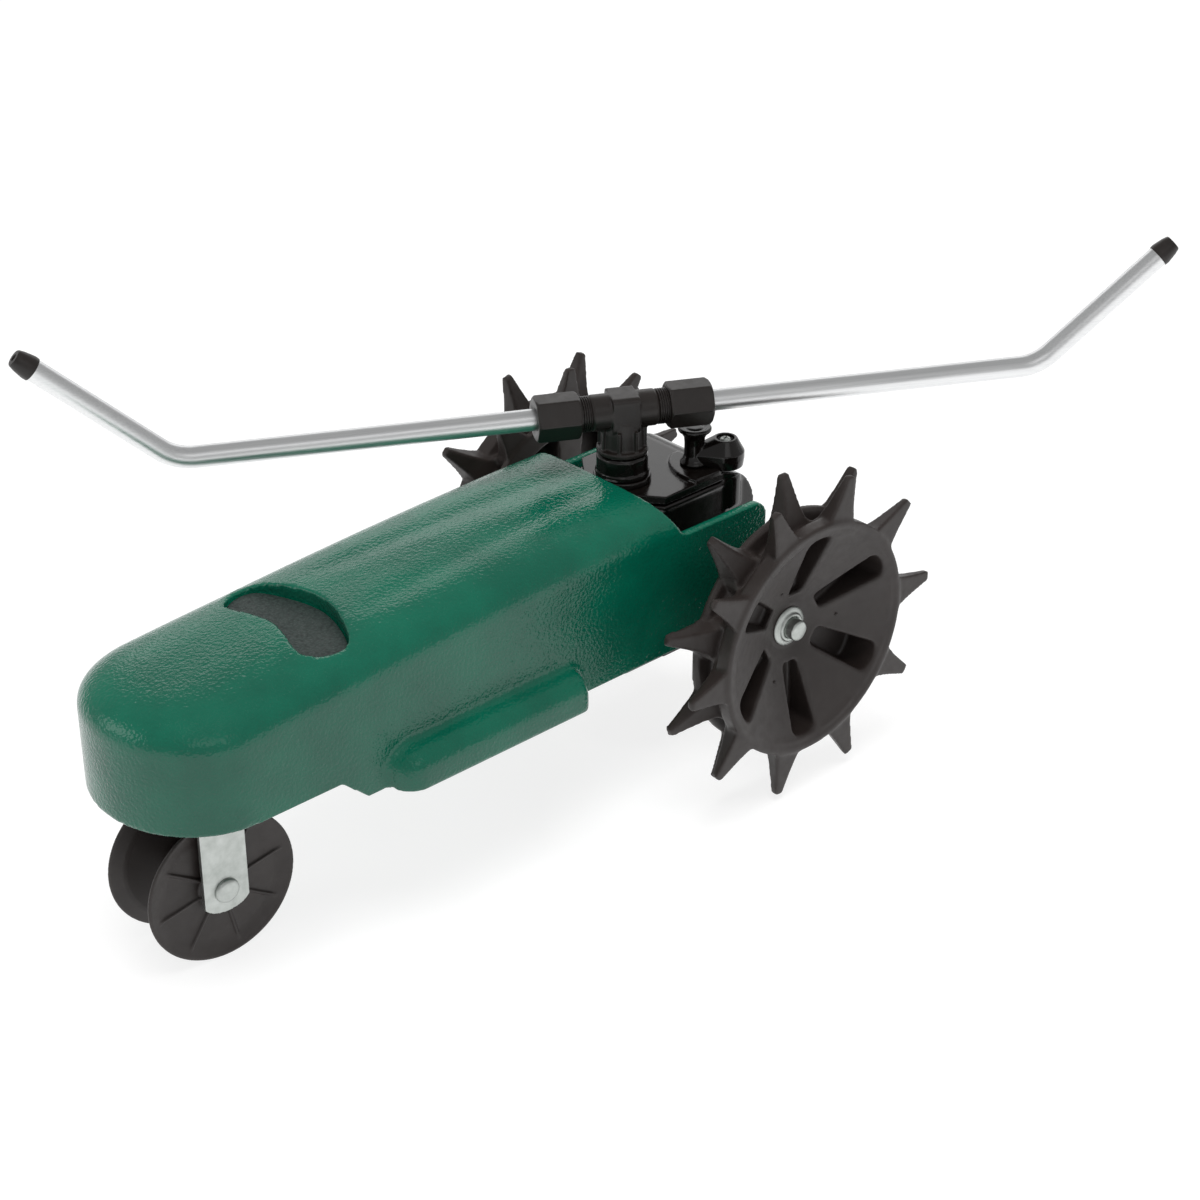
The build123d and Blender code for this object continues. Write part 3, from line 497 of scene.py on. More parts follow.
def less(mesh, cutter):
    """The mesh with the cutter's shape taken away."""
    tool = placed("tool", cutter)
    obj = placed("work", mesh)
    cut = obj.modifiers.new("cut", "BOOLEAN")
    cut.operation = "DIFFERENCE"
    cut.solver = "MANIFOLD"
    cut.object = tool
    rest = evaluated(obj)
    bpy.data.objects.remove(tool)
    return rest


def moulded(solids, voxel, soften, cuts=()):
    """One seamless skin over the solids, less the cuts."""
    skin = melted(joined(*solids), voxel)
    if cuts:
        skin = less(skin, melted(joined(*cuts), voxel))
    return melted(skin, voxel, soften)


def thinned(mesh):
    """The mesh with its flattest stretches thinned out, if it has more than MOST_TRIANGLES triangles."""
    triangles = sum(len(polygon.vertices) - 2 for polygon in mesh.polygons)
    if triangles <= MOST_TRIANGLES:
        return mesh
    obj = placed("work", mesh)
    thin = obj.modifiers.new("thin", "DECIMATE")
    thin.ratio = MOST_TRIANGLES / triangles
    return evaluated(obj)


def finish(name, mesh, material, body, nodes):
    """Move the mesh to the frame, give it its material and let it ride in place of its CAD nodes."""
    mesh = thinned(mesh)
    mesh.transform(TO_FRAME)
    mesh.materials.clear()
    mesh.materials.append(material)
    mesh.polygons.foreach_set("use_smooth", [True] * len(mesh.polygons))
    mesh.name = name
    obj = placed(name, mesh)
    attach(obj, body)
    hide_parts(*nodes)
    return obj


def creased(obj, angle):
    """Edges stay sharp where faces meet at more than this angle."""
    obj.data.set_sharp_from_angle(angle=radians(angle))


def clamp(value, low=0.0, high=1.0):
    return min(high, max(low, value))


def ease(value):
    value = clamp(value)
    return value * value * (3 - 2 * value)


# ---- cast body ---------------------------------------------------------------------------------
def crown_z(x):
    """Height of the crown: level over the gearbox, then falling ever faster to the nose."""
    return CROWN_REAR_Z - CROWN_FALL * max(0.0, (x - HOOD_EDGE_X) / (NOSE_X - HOOD_EDGE_X)) ** 1.9


def low_edge(x):
    """Height of the flanks' lower edge, which steps up under the nose."""
    return BODY_LOW_Z + 14.6 * clamp((x - 281.0) / 16.0)


def swelling(x, z):
    """How far the long half-round swelling stands out of the flank."""
    rear = clamp((SWELL_REAR_X - x) / SWELL_REAR_ROUND)
    front = clamp((x - SWELL_FRONT_X) / SWELL_FRONT_ROUND)
    top = SWELL_TOP_Z - 9.0 * front ** 2 - 8.0 * rear ** 2
    over = clamp((z - (top - SWELL_ROLL)) / SWELL_ROLL)
    return SWELL_OUT * sqrt(1 - rear ** 2) * sqrt(1 - front ** 2) * sqrt(1 - over ** 2)


def valley(x, y):
    """Shallow hollow between the crown and each shoulder, dying out at the finger slot."""
    along = ease((x - 58.0) / 30.0) * (1 - ease((x - 225.0) / 45.0))
    middle = 12.0 + 14.0 * clamp((x - 60.0) / 200.0)
    return 1.2 * along * exp(-((abs(y) - middle) / 9.0) ** 2)


def body_skin(inset):
    """Half sections of the hood, from its lower edge to the crown line, each with as many points.

    They go forward along the left flank, round the nose, and back along the right flank.
    """
    flank_steps = 300
    nose_steps = 120
    side_steps = 61
    roll_steps = 44
    crown_steps = 22
    half = BODY_HALF - inset
    rear = BODY_REAR_X - 6.0 * (inset > 0)
    stations = [(rear + (NOSE_START_X - rear) * k / flank_steps, 1.0, 0.0) for k in range(flank_steps + 1)]
    for k in range(1, nose_steps + 1):
        a = QUARTER * k / nose_steps
        stations.append((NOSE_START_X, cos(a), sin(a)))
    stations += [(x, -side, nose) for x, side, nose in stations[-2::-1]]
    rings = []
    for x0, side_share, nose_share in stations:
        out_x = x0 + (NOSE_X - NOSE_START_X - inset) * nose_share
        out_y = half * side_share
        side = 1.0 if side_share >= 0 else -1.0
        power = 5.0 - 2.0 * clamp((x0 - HOOD_EDGE_X) / 230.0) + 1.8 * nose_share ** 2
        fall = SHOULDER_DROP - 5.5 * nose_share ** 2
        top = crown_z(out_x) - inset - fall
        low = low_edge(out_x) - 3.0 * inset
        ring = []
        for j in range(side_steps):
            z = low + (top - low) * j / side_steps
            bulge = swelling(out_x, z + inset * 0.4) if nose_share == 0 else 0.0
            ring.append((out_x, out_y + side * bulge, z))
        # equal steps of turn round the shoulder, then equal steps of width over the flatter crown
        shares = [cos(QUARTER * j / roll_steps) ** (2 / power) for j in range(roll_steps - 5)]
        inmost = shares[-1]
        shares += [inmost * (1 - j / crown_steps) for j in range(1, crown_steps + 1)]
        for share in shares:
            x = x0 + (out_x - x0) * share
            y = out_y * share
            drop = fall * (1 - sqrt(max(0.0, 1 - share ** power)))
            ring.append((x, y, crown_z(x) - inset - drop - valley(x, y)))
        rings.append(ring)
    return rings


def body_form(inset):
    """The hood as a solid: its skin, drawn in by this much and closed below and behind."""
    rings = body_skin(inset)
    count = len(rings[0])
    points = [p for ring in rings for p in ring]
    faces = []
    for i in range(len(rings) - 1):
        for j in range(count - 1):
            a = i * count + j
            faces.append((a, a + 1, a + count + 1, a + count))
    for i in range((len(rings) - 1) // 2):
        left = i * count
        right = (len(rings) - 1 - i) * count
        faces.append(tuple(dict.fromkeys((left, left + count, right - count, right))))
    first = list(range(count))
    last = list(range((len(rings) - 1) * count, len(rings) * count))
    faces.append(tuple(first + last[-2::-1]))
    return outward(mesh_of(points, faces))


def smooth_loop(points, steps=8):
    """Closed curve through the points."""
    out = []
    count = len(points)
    for i in range(count):
        p0, p1, p2, p3 = (Vector(points[(i + k) % count]) for k in (-1, 0, 1, 2))
        for k in range(steps):
            t = k / steps
            out.append(0.5 * (2 * p1 + (p2 - p0) * t + (2 * p0 - 5 * p1 + 4 * p2 - p3) * t ** 2
                              + (3 * p1 - p0 - 3 * p2 + p3) * t ** 3))
    return out


def finger_slot(grow):
    """Plan outline of the curved finger slot across the hood."""
    near = [(261, 0), (262.5, 12), (265.5, 22), (269.5, 32), (273.5, 39), (278.5, 42.8), (285, 43.4)]
    near += [(292, 41.6), (298, 37.6), (300.8, 32), (299.5, 24), (297, 15), (295, 7)]
    far = [(x, -y) for x, y in reversed(near[1:])]
    line = smooth_loop(near + [(294, 0)] + far)
    out = []
    for i, p in enumerate(line):
        along = (line[(i + 1) % len(line)] - line[i - 1]).normalized()
        out.append(tuple(p + Vector((-along.y, along.x)) * grow))
    return out


def across(profile, side):
    """A shape turned about Z, laid on the rear axle and pointing to this side."""
    return moved(spun(profile), shift(0, 0, AXLE_Z), turn(-side * QUARTER, "X"))


def cast_body():
    shell = less(melted(body_form(0.0), 1.25), body_form(WALL))
    tub = prism(finger_slot(4.0), 163.0, 171.5)
    kingpin_boss = moved(spun([(0, 100.6), (12, 100.6), (12, 167), (0, 167)]), shift(FORK_X, 0, 0))
    solids = [shell, tub, kingpin_boss]
    slot_cut = prism(finger_slot(0.0), 167.0, 200.0)
    back_cut = side_plate([(-60, 162), (45.8, 162), (49.2, 163.6), (63, 184), (66, 215), (-60, 215)], -90, 90)
    kingpin_bore = moved(spun([(0, 94), (4.2, 94), (4.2, 133), (0, 133)]), shift(FORK_X, 0, 0))
    corner = [(-40, 152), (-19.5, 152), (-18.6, 156.5), (-15.8, 160), (-11.5, 162.2), (-40, 162.4)]
    cuts = [slot_cut, back_cut, kingpin_bore]
    for side in (-1, 1):
        solids.append(across([(0, 49), (HUB_R, 49), (HUB_R, 59), (0, 59)], side))
        cuts.append(moved(side_plate(corner, -9, 9), shift(0, 58.0 * side, 0)))
    for side in (-1, 1):
        cuts.append(across([(0, 40), (9, 40), (9, 70), (0, 70)], side))
    finish("body_shell", moulded(solids, 1.25, 2, cuts), GREEN, "chassis", ["cast_body"])


def pad():
    """Grained insert, its top slightly crowned, sunk in the finger slot."""
    outline = finger_slot(-0.5)
    low = [(x, y, 167.0) for x, y in outline]
    edge = [(x, y, 168.8) for x, y in outline]
    middle_x = 283.0
    rings = [low, edge]
    crowning = ((0.985, 169.4), (0.96, 169.7), (0.8, 169.9), (0.5, 170.0), (0.2, 170.0), (0.01, 170.0))
    for share, rise in crowning:
        rings.append([(middle_x + (x - middle_x) * share, y * share, rise) for x, y in outline])
    finish("finger_pad", loft(rings), PAD, "chassis", ["grip_pad"])


# ---- rear wheels -------------------------------------------------------------------------------
def spike_mesh(row):
    """Flat-faced spike along +X with hollow-ground sides and a spread foot; width in Z, depth in Y."""
    face = WHEEL_OUT_Y - 1.3 if row > 0 else WHEEL_IN_Y + 1.0
    rings = []
    stations = ((64.0, 27.0, 15.5), (68.0, 24.0, 14.0), (72.0, 21.5, 12.6), (76.0, 18.4, 11.2),
                (80.0, 15.7, 9.8), (85.0, 13.0, 8.4), (90.0, 10.6, 7.0), (95.0, 8.4, 5.6), (98.6, 6.8, 4.6),
                (99.7, 5.8, 4.0))
    for r, wide, deep in stations:
        back = face - row * deep
        ridge = 0.36 if r > 70 else 0.5
        rings.append([(r, face, -wide / 2), (r, face, wide / 2), (r, back, wide * ridge),
                      (r, back, -wide * ridge)])
    return loft(rings)


def web_slot(grow):
    """One window of the wheel disc in its (radial, sideways) plane, wider towards the tyre."""
    corners = [(23.0 - grow, -5.6 - grow, 2.5), (42, -7.6 - grow, 60), (62.0 + grow, -9.4 - grow, 4.0),
               (64.6 + grow, 0, 30), (62.0 + grow, 9.4 + grow, 4.0), (42, 7.6 + grow, 60),
               (23.0 - grow, 5.6 + grow, 2.5)]
    return rounded(corners, 2.0)


def spiked_wheel(name, node, side, phase, inner_phase):
    """Drum wheel with two rows of spikes; the phases, in degrees, place the outer and the inner row."""
    rim = [(RIM_INNER_R, WHEEL_IN_Y), (RIM_R, WHEEL_IN_Y), (RIM_R, 95.6), (71.5, 97.0), (DRUM_R, 98.4),
           (DRUM_R, 105.5), (66.0, 108.0), (RIM_R, 111.5), (RIM_R, 121.0), (72.4, WHEEL_OUT_Y),
           (69.6, WHEEL_OUT_Y), (69.0, 120.9), (66.0, 119.9), (40.0, 109.0), (HUB_R, 98.5), (6.6, 98.5),
           (6.6, 66.2), (HUB_R, 66.2), (HUB_R, 94.0), (RIM_INNER_R, 111.0)]
    around = turn(-QUARTER, "X")
    disc = moved(lathe(rim, 180), around)
    spike_turn = 2 * pi / SPIKES
    window_turn = 2 * pi / WINDOWS
    outer_row = repeated(spike_mesh(1), SPIKES, WHEEL_BLACK, spike_turn, radians(-phase))
    inner_row = repeated(spike_mesh(-1), SPIKES, WHEEL_BLACK, spike_turn, radians(-inner_phase))
    wall = moved(prism(web_slot(2.0), 93.0, 112.0), around)
    walls = repeated(wall, WINDOWS, WHEEL_BLACK, window_turn, FIRST_WINDOW)
    hole = moved(prism(web_slot(0.0), 95.5, 150.0), around)
    holes = repeated(hole, WINDOWS, WHEEL_BLACK, window_turn, FIRST_WINDOW)
    pip = moved(spun([(0, 105.0), (1.0, 105.0), (0.9, 106.9), (0, 106.9)], 16), shift(33.0, 0, 0), around)
    pips = repeated(pip, 3, WHEEL_BLACK, radians(120), radians(57))
    face = [(14.2, 98.6), (40.0, 109.1), (66.0, 120.0), (66.0, 130.0), (14.2, 130.0)]
    outside = moved(lathe(face), around)
    key = brick(-11.7, 11.7, 65.0, 70.8, -2.2, 2.2)
    mesh = joined(moulded([disc, outer_row, inner_row, walls], 0.95, 2, [holes, outside, key]), pips)
    if side < 0:
        moved(mesh, Matrix.Scale(-1, 4, (0, 1, 0)))
    finish(name, moved(mesh, shift(0, 0, AXLE_Z)), WHEEL_BLACK, "drive_wheels", [node])


def wheel_cap(side):
    """Pressed zinc cap with a rolled collar, pushed over the axle end."""
    half = [(6.5, 98.55), (12.0, 98.55), (12.25, 98.9), (12.1, 99.4), (11.4, 99.9), (10.0, 100.35),
            (9.2, 100.5), (8.9, 100.9), (8.6, 101.7), (7.9, 102.1), (7.1, 101.9), (6.5, 101.2)]
    return moved(lathe(half), shift(0, 0, AXLE_Z), turn(-side * QUARTER, "X"))


def wheel_caps():
    mesh = joined(wheel_cap(1), wheel_cap(-1))
    creased(finish("axle_caps", mesh, ZINC, "drive_wheels", ["wheel_caps"]), 50)


def drive_axle():
    bar = [(0, -108), (5.0, -108), (6.05, -107.4), (6.35, -106.6), (6.35, 106.6), (6.05, 107.4), (5.0, 108),
           (0, 108)]
    creased(finish("axle_bar", across(bar, 1), ZINC, "drive_wheels", ["drive_axle"]), 40)


# ---- spray head --------------------------------------------------------------------------------
def head_place():
    return shift(SWIVEL_X, 0, ARM_Z) @ turn(ARM_HEADING, "Z")


def lying(mesh, side):
    """A shape turned about Z laid along +X or -X."""
    return moved(mesh, turn(side * QUARTER, "Y"))


def tee():
    """Square middle with a leg down to the spindle and two threaded ends for the arms' nuts."""
    barrel = [(0, 0), (9.0, 0), (9.0, 6.0), (9.4, 7.5), (10.6, 8.2), (10.8, 9.0), (10.8, 18.5), (10.2, 19.6),
              (9.5, 19.9), (9.5, 38.0), (0, 38.0)]
    solids = [lying(spun(barrel, 72), side) for side in (-1, 1)]
    square = rounded([(-10.9, -10.9), (10.9, -10.9), (10.9, 10.9), (-10.9, 10.9)], 3.2)
    solids.append(loft([[(x, y, z) for y, z in square] for x in (-8.2, 8.2)]))
    thread = moved(lathe([(9.3, -0.42), (10.45, -0.2), (10.45, 0.2), (9.3, 0.42)], 72), turn(-QUARTER, "X"))
    threads = []
    for side in (-1, 1):
        rings = repeated(thread, 6, SATIN_BLACK, move_each=1.35)
        threads.append(moved(rings, turn(-side * QUARTER, "Z"), shift(0, 20.6, 0)))
    leg = [(0, -25.4), (14.6, -25.4), (15.2, -24.8), (15.2, -22.6), (14.4, -22.0), (12.6, -21.7),
           (12.4, -12.0), (11.5, -5.0), (0, -5.0)]
    solids.append(spun(leg, 72))
    rib = brick(10.5, 14.4, -1.0, 1.0, -23.0, -9.0)
    ribs = repeated(moved(rib, turn(-QUARTER, "X")), 8, SATIN_BLACK, radians(45), radians(22.5))
    solids.append(moved(ribs, turn(QUARTER, "X")))
    mesh = moved(joined(moulded(solids, 0.42, 1), *threads), head_place())
    finish("tee_body", mesh, SATIN_BLACK, "rotor_head", ["tee"])


def hex_nut_mesh():
    """Compression nut along +X: chamfered corners, and a dished end round the tube."""
    corner = pi / 6
    turns = [2 * pi * k / 180 for k in range(180)]
    rings = []
    for x, limit in ((26.3, 12.7), (27.4, 13.9), (50.9, 13.9), (52.3, 12.6)):
        ring = []
        for a in turns:
            r = min(polygon_r(a, 6, ARM_NUT_HALF), limit)
            ring.append((x, r * cos(a + corner), r * sin(a + corner)))
        rings.append(ring)
    for x, r in ((52.3, 9.2), (51.6, 6.6), (51.0, 6.42)):
        rings.append([(x, r * cos(a + corner), r * sin(a + corner)) for a in turns])
    return loft(rings)


def arm_nuts():
    near = moulded([hex_nut_mesh()], 0.42, 1)
    far = moved(moulded([hex_nut_mesh()], 0.42, 1), turn(pi, "Z"))
    mesh = moved(joined(near, far), head_place())
    finish("compression_nuts", mesh, SATIN_BLACK, "rotor_head", ["arm_nuts"])


def arm(name, node, body, flip):
    """Spray arm bent once from straight tube, and the jet tip on its end."""
    inner_end = 20.0
    bend = 257.0
    bend_r = 30.0
    lift = radians(41.0)
    raised = 96.7
    cut = bend_r * tan(lift / 2)
    path = [Vector((inner_end + (bend - cut - inner_end) * k / 40, 0, 0)) for k in range(40)]
    for k in range(29):
        a = lift * k / 28
        path.append(Vector((bend - cut + bend_r * sin(a), 0, bend_r * (1 - cos(a)))))
    out = Vector((cos(lift), 0, sin(lift)))
    start = Vector((bend, 0, 0)) + out * cut
    end = Vector((bend, 0, 0)) + out * raised
    path += [start.lerp(end, k / 12) for k in range(1, 13)]
    place = head_place() @ turn(pi if flip else 0.0, "Z")
    tube = moved(pipe(path, TUBE_R), place)
    creased(finish(name, tube, ALUMINIUM, body, [node]), 50)
    tip = [(0, -2), (6.9, -2), (7.0, 0), (6.9, 1.0), (6.0, 6.4), (5.1, 9.4), (4.6, 9.95), (2.2, 10.0),
           (2.0, 9.6), (2.0, 4.0), (0, 4.0)]
    nozzle = moved(spun(tip, 64), place, Matrix.Translation(end), turn(QUARTER - lift, "Y"))
    nozzle_node = node.replace("arm", "nozzle")
    creased(finish(nozzle_node + "_tip", nozzle, SATIN_BLACK, body, [nozzle_node]), 40)


# ---- gearbox -----------------------------------------------------------------------------------
def gearbox_outline(grow):
    """Plan of the gearbox with its clipped front corners, made larger at the sides and in front."""
    half = BOX_HALF + grow[0]
    front = BOX_FRONT_X + grow[1]
    return [(BOX_REAR_X, -half), (front - 17.7, -half), (front, -13.5), (front, 13.5), (front - 17.7, half),
            (BOX_REAR_X, half)]


def barrel_back():
    """What the rounded rear top edge takes away."""
    middle_x = BOX_REAR_X + BOX_BACK_R
    middle_z = BOX_TOP_Z - BOX_BACK_R
    outline = []
    for k in range(25):
        a = QUARTER + QUARTER * k / 24
        outline.append((middle_x + BOX_BACK_R * cos(a), middle_z + BOX_BACK_R * sin(a)))
    outline += [(middle_x - 60, middle_z), (middle_x - 60, middle_z + 60), (middle_x, middle_z + 60)]
    return side_plate(outline, -60, 60)


def lever_post(low, high):
    post = [(0, low), (LEVER_POST_R, low), (LEVER_POST_R, high), (0, high)]
    return moved(spun(post, 48), shift(*LEVER, 0))


def gearbox():
    box = prism(gearbox_outline((0.0, 0.0)), BOX_LOW_Z, 168.6)
    flange = prism(gearbox_outline((0.9, 1.0)), 166.4, 168.8)
    mesh = moulded([box, flange, lever_post(150, 172)], 1.0, 2, [barrel_back()])
    finish("gear_case", mesh, GLOSS_BLACK, "chassis", ["gearbox_housing"])


def gearbox_lid():
    """Flat lid, with a raised quadrant under the lever's sweep."""
    lid = prism(gearbox_outline((0.0, 0.0)), 169.6, 174.4)
    edge_y = 35.8
    reach = 31.5
    arc = []
    for k in range(33):
        a = radians(-62) + radians(92) * k / 32
        arc.append((-15 + reach * cos(a), 27 + reach * sin(a)))
    arc = [p for p in arc if p[1] < BOX_HALF]
    raised = prism([(-33.0, edge_y), (-33.0, 3.0)] + arc + [(arc[-1][0], edge_y)], 174.0, 176.9)
    mesh = moulded([lid, raised, lever_post(170, 174.9)], 0.62, 2, [barrel_back()])
    finish("gear_case_lid", mesh, GLOSS_BLACK, "chassis", ["gearbox_cover"])


def tower():
    """Collar and eight-sided packing nut round the spindle."""
    ring = spun([(0, 174.2), (16.9, 174.2), (17.1, 174.8), (17.1, 177.4), (16.5, 178.1), (0, 178.1)])
    flats_low_z = 181.4
    levels = ((178.2, 15.6), (178.8, 16.0), (181.2, 16.0), (181.6, 15.3), (190.6, 15.3), (192.0, 14.2))
    rings = []
    for z, limit in levels:
        level = []
        for k in range(192):
            a = 2 * pi * k / 192
            r = min(limit, polygon_r(a, 8, PACKING_NUT_HALF)) if z > flats_low_z else limit
            level.append((r * cos(a), r * sin(a), z))
        rings.append(level)
    nut = loft(rings)
    place = shift(SWIVEL_X, 0, 0)
    bore = [(0, 170), (7.2, 170), (7.2, 200), (0, 200)]
    ring = moulded([ring], 0.5, 1, [spun(bore, 48)])
    nut = moulded([nut], 0.5, 1, [spun(bore, 48)])
    finish("neck_collar", moved(ring, place), GLOSS_BLACK, "chassis", ["neck_ring"])
    finish("packing_nut", moved(nut, place), GLOSS_BLACK, "chassis", ["gland_nut"])


# ---- speed lever -------------------------------------------------------------------------------
def lever():
    """Teardrop cap with a flat reaching to the spool-shaped knob."""
    pivot_end = ((10.6, 175.2), (10.9, 175.7), (11.5, 180.6), (11.5, 184.4), (11.1, 185.0), (7.2, 192.2),
                 (6.8, 192.6))
    knob_end = ((5.2, 180.1), (5.6, 180.6), (5.6, 184.0), (5.2, 184.6))
    flanks = []
    for middle, end, steps in ((LEVER, pivot_end, 64), (KNOB, knob_end, 40)):
        for r, z in end:
            turns = [2 * pi * k / steps for k in range(steps)]
            flanks += [(middle[0] + r * cos(a), middle[1] + r * sin(a), z) for a in turns]
    work = bmesh.new()
    for p in flanks:
        work.verts.new(p)
    hull = bmesh.ops.convex_hull(work, input=work.verts)
    inside = [e for e in hull["geom_interior"] if isinstance(e, bmesh.types.BMVert)]
    bmesh.ops.delete(work, geom=inside, context="VERTS")
    cap = bpy.data.meshes.new("cap")
    work.to_mesh(cap)
    work.free()
    well = moved(spun([(0, 190.6), (5.3, 190.6), (5.3, 196), (0, 196)], 48), shift(*LEVER, 0))
    knob = spun([(0, 177.5), (8.6, 177.5), (8.4, 178.6), (6.9, 180.4), (6.1, 183.0), (5.9, 190.0),
                 (6.3, 194.2), (7.9, 196.8), (9.7, 198.3), (10.0, 198.9), (10.0, 200.0), (9.4, 200.7),
                 (7.7, 200.7), (6.9, 200.1), (5.4, 199.9), (4.6, 200.3), (3.4, 200.5), (0, 200.5)], 64)
    knob = moved(knob, shift(*KNOB, 0))
    mesh = moulded([cap, knob], 0.34, 1, [well])
    finish("selector_lever", mesh, GLOSS_BLACK, "selector", ["speed_lever"])
    head = [(0, 190.0), (3.5, 190.0), (3.6, 190.6), (3.5, 191.4), (2.6, 192.2), (1.2, 192.5), (0, 192.5)]
    bars = [brick(-2.3, 2.3, -0.42, 0.42, 191.2, 194), brick(-0.42, 0.42, -2.3, 2.3, 191.2, 194)]
    mesh = moulded([spun(head, 48)], 0.14, 1, [moved(joined(*bars), turn(radians(25), "Z"))])
    finish("pivot_screw", moved(mesh, shift(*LEVER, 0)), ZINC, "selector", ["lever_screw"])


# ---- guide wheel -------------------------------------------------------------------------------
def steered():
    return shift(FORK_X, 0, 0) @ turn(STEER, "Z")


def guide_disc(name, node, side):
    """Dished disc: bevelled tyre edge, rounded lip, eight ribs as thin as the wall."""
    profile = [(4.1, 17.0), (35.5, 17.0), (37.5, 17.4), (44.2, 19.9), (GUIDE_R, 20.6), (GUIDE_R, 21.4),
               (44.2, 22.0), (43.0, 22.0), (42.2, 21.6), (36.5, 19.8), (34.0, 19.3), (13.0, 19.3),
               (12.0, 21.0), (11.0, 21.8), (4.1, 21.8)]
    disc = moved(lathe(profile, 160), turn(-QUARTER, "X"))
    rib = brick(10.0, 40.0, 18.5, 20.9, -0.75, 0.75)
    ribs = repeated(rib, 8, WHEEL_BLACK, radians(45), radians(12))
    mesh = moulded([disc, ribs], 0.5, 1)
    if side < 0:
        moved(mesh, Matrix.Scale(-1, 4, (0, 1, 0)))
    moved(mesh, steered(), shift(0, 0, GUIDE_R))
    finish(name, mesh, WHEEL_BLACK, "guide_wheel", [node])


def fork():
    """Zinc-plated strap bent into a U, its two ends rounded."""
    inner = rounded([(-23.5, 30.0, 0.0), (-23.5, 95.5, 2.5), (23.5, 95.5, 2.5), (23.5, 30.0, 0.0)], 2.5)
    outer = rounded([(-26.0, 30.0, 0.0), (-26.0, 98.0, 5.0), (26.0, 98.0, 5.0), (26.0, 30.0, 0.0)], 5.0)
    strap = inner + outer[::-1]
    upright = Matrix(((0, 0, 1, 0), (1, 0, 0, 0), (0, 1, 0, 0), (0, 0, 0, 1)))
    mesh = moved(prism(strap, -FORK_HALF_WIDTH, FORK_HALF_WIDTH), upright)
    below = []
    for k in range(33):
        share = -1.0 + 2.0 * k / 32
        below.append((FORK_HALF_WIDTH * share, 31.4 + 5.2 * abs(share) ** 2.6))
    trim = side_plate([(-20, 20), (-20, 38.0)] + below + [(20, 38.0), (20, 20)], -40, 40)
    pin_hole = spun([(0, 80), (4.1, 80), (4.1, 120), (0, 120)], 48)
    mesh = moulded([mesh], 0.5, 1, [trim, pin_hole])
    finish("fork_strap", moved(mesh, steered()), ZINC, "steering_fork", ["fork"])


def guide_axle():
    rivet = [(0, -28.6), (4.8, -28.5), (6.5, -27.9), (7.2, -27.0), (7.2, -26.1), (4.0, -26.0), (4.0, 26.0),
             (7.2, 26.1), (7.2, 27.0), (6.5, 27.9), (4.8, 28.5), (0, 28.6)]
    mesh = moved(spun(rivet, 72), steered(), shift(0, 0, GUIDE_R), turn(-QUARTER, "X"))
    creased(finish("guide_rivet", mesh, ZINC, "steering_fork", ["guide_axle"]), 45)


# ---- shut-off valve ----------------------------------------------------------------------------
def valve_spring():
    """Return spring of the shut-off plunger, drawn at one fixed length; the real spring shortens towards its
    seat as the plunger rises.
    """
    coils = 3
    steps = 48
    pitch = 2.4
    coil_r = 4.6
    wire_r = 0.45
    low_z = 50.5
    path = []
    for k in range(coils * steps + 1):
        a = 2 * pi * k / steps
        path.append(Vector((VALVE_X + coil_r * cos(a), coil_r * sin(a), low_z + pitch * k / steps)))
    coil = pipe(path, wire_r, 12)
    obj = finish("return_spring", coil, SPRING_STEEL, "chassis", ["valve_spring"])
    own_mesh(obj)


cast_body()
pad()
spiked_wheel("left_spiked_wheel", "left_wheel", 1, 177.0, 123.0)
spiked_wheel("right_spiked_wheel", "right_wheel", -1, 38.2, 92.2)
wheel_caps()
drive_axle()
tee()
arm_nuts()
arm("front_arm_tube", "front_arm", "front_spray_arm", False)
arm("rear_arm_tube", "rear_arm", "rear_spray_arm", True)
gearbox()
gearbox_lid()
tower()
lever()
guide_disc("left_guide_dish", "left_guide_disc", 1)
guide_disc("right_guide_dish", "right_guide_disc", -1)
fork()
guide_axle()
valve_spring()


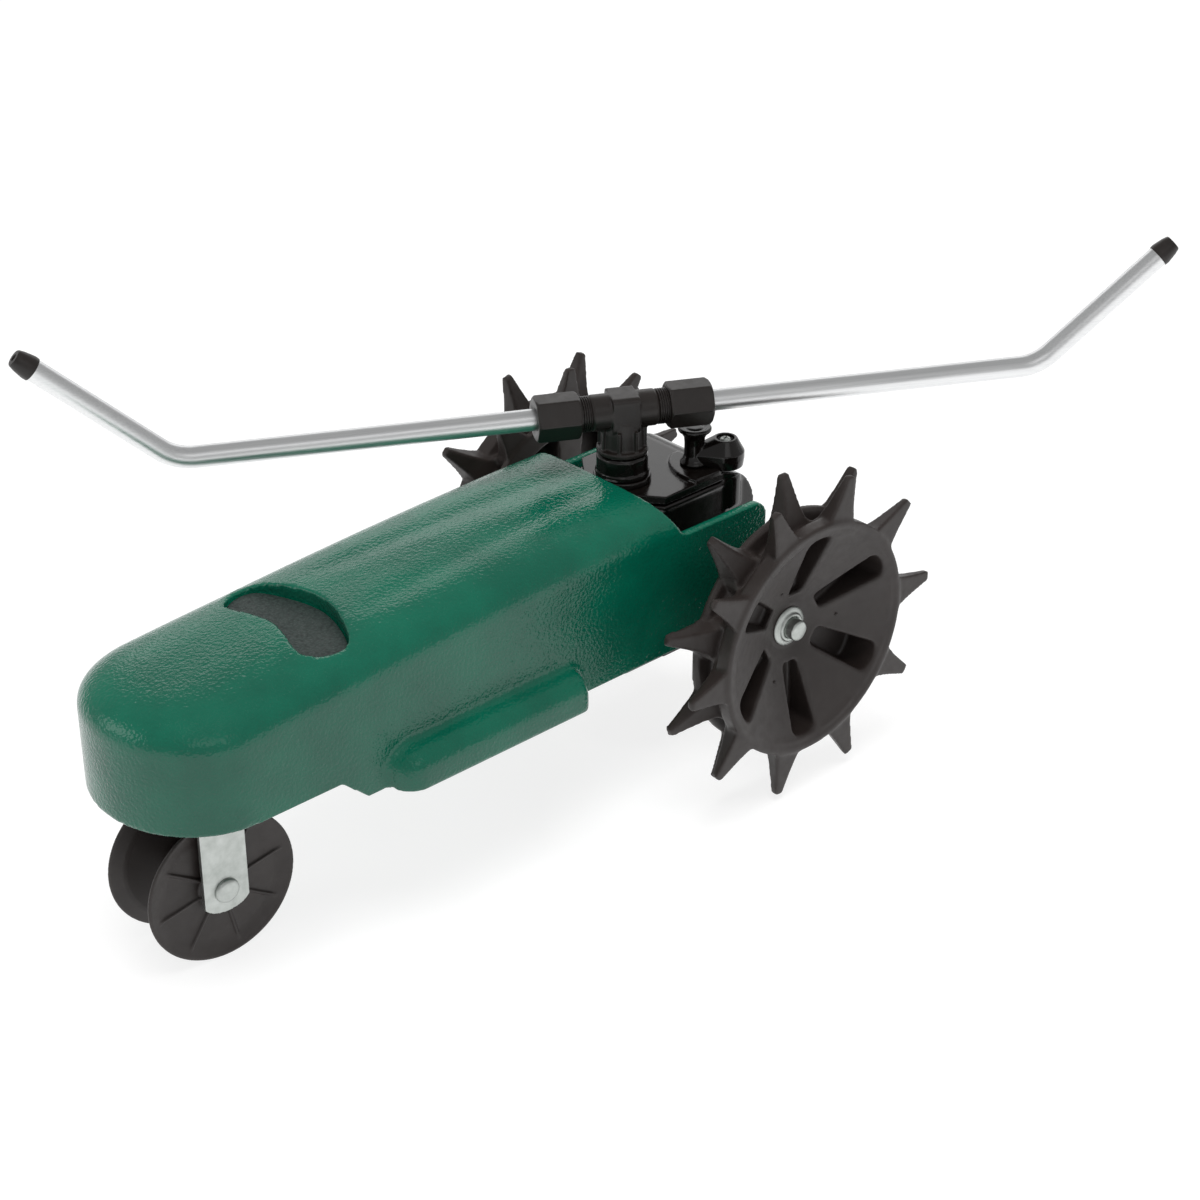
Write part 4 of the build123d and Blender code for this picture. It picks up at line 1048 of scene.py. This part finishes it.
# ---- floor, lights and camera --------------------------------------------------------------------
def studio():
    """White paper floor that glows a little, as a lit sweep does, with soft boxes round a dim room."""
    floor = mesh_of([(-6, -6, -0.0005), (6, -6, -0.0005), (6, 6, -0.0005), (-6, 6, -0.0005)], [(0, 1, 2, 3)])
    made, tree, shader, place = new_material("white_paper_floor")
    shader.inputs["Roughness"].default_value = 0.9
    shader.inputs["Specular IOR Level"].default_value = 0.1
    shader.inputs["Emission Color"].default_value = (1, 1, 1, 1)
    shader.inputs["Emission Strength"].default_value = 0.8
    feed(tree, shader,
         Base_Color=ramp(tree, noise(tree, place, 60.0), [(0.3, paint("8E8E8E")), (0.7, paint("929292"))]))
    floor.materials.append(made)
    placed("floor", floor)

    world = bpy.data.worlds.new("studio")
    bpy.context.scene.world = world
    world.use_nodes = True
    sky = world.node_tree
    way = add(sky, "ShaderNodeTexCoord").outputs["Generated"]
    height = add(sky, "ShaderNodeSeparateXYZ", Vector=way).outputs["Z"]
    wall = ramp(sky, height, [(0.0, 0.55), (0.25, 0.42), (0.55, 0.36), (1.0, 0.38)])
    sky.links.new(wall, sky.nodes["Background"].inputs[0])
    bpy.context.scene.view_settings.view_transform = "Standard"

    for name, spot, aim, size, glow, mirrored in (
        ("far", (-1.5, -1.6, 1.15), (0, 0, 0.15), (2.4, 1.1), 0.9, True),
        ("tail", (-1.3, 1.5, 1.3), (0, 0, 0.15), (1.0, 0.7), 1.2, False),
        ("front", (1.9, -1.0, 1.1), (0, 0, 0.15), (1.2, 0.9), 1.5, True),
        ("near", (0.9, 1.9, 1.9), (0, 0, 0.1), (1.5, 1.0), 0.7, True),
        ("overhead", (0.3, 0.3, 2.4), (0, 0, 0.1), (1.4, 1.4), 7.0, False),
    ):
        lamp = bpy.data.lights.new(name, "AREA")
        lamp.shape = "RECTANGLE"
        lamp.size, lamp.size_y = size
        lamp.energy = glow * pi * size[0] * size[1]
        light = placed(name, lamp)
        light.location = spot
        light.rotation_euler = (Vector(aim) - Vector(spot)).to_track_quat("-Z", "Y").to_euler()
        light.visible_camera = False
        light.visible_glossy = mirrored

    lens = bpy.data.cameras.new("camera")
    lens.lens = FOCAL_MM
    lens.sensor_width = 36.0
    lens.clip_end = 30.0
    camera = placed("camera", lens)
    toward = Vector((cos(CAMERA_ABOVE) * cos(CAMERA_AROUND), cos(CAMERA_ABOVE) * sin(CAMERA_AROUND),
                     sin(CAMERA_ABOVE)))
    camera.location = Vector(LOOK_AT) + toward * CAMERA_DISTANCE
    camera.rotation_euler = toward.to_track_quat("Z", "Y").to_euler()
    bpy.context.scene.camera = camera


studio()
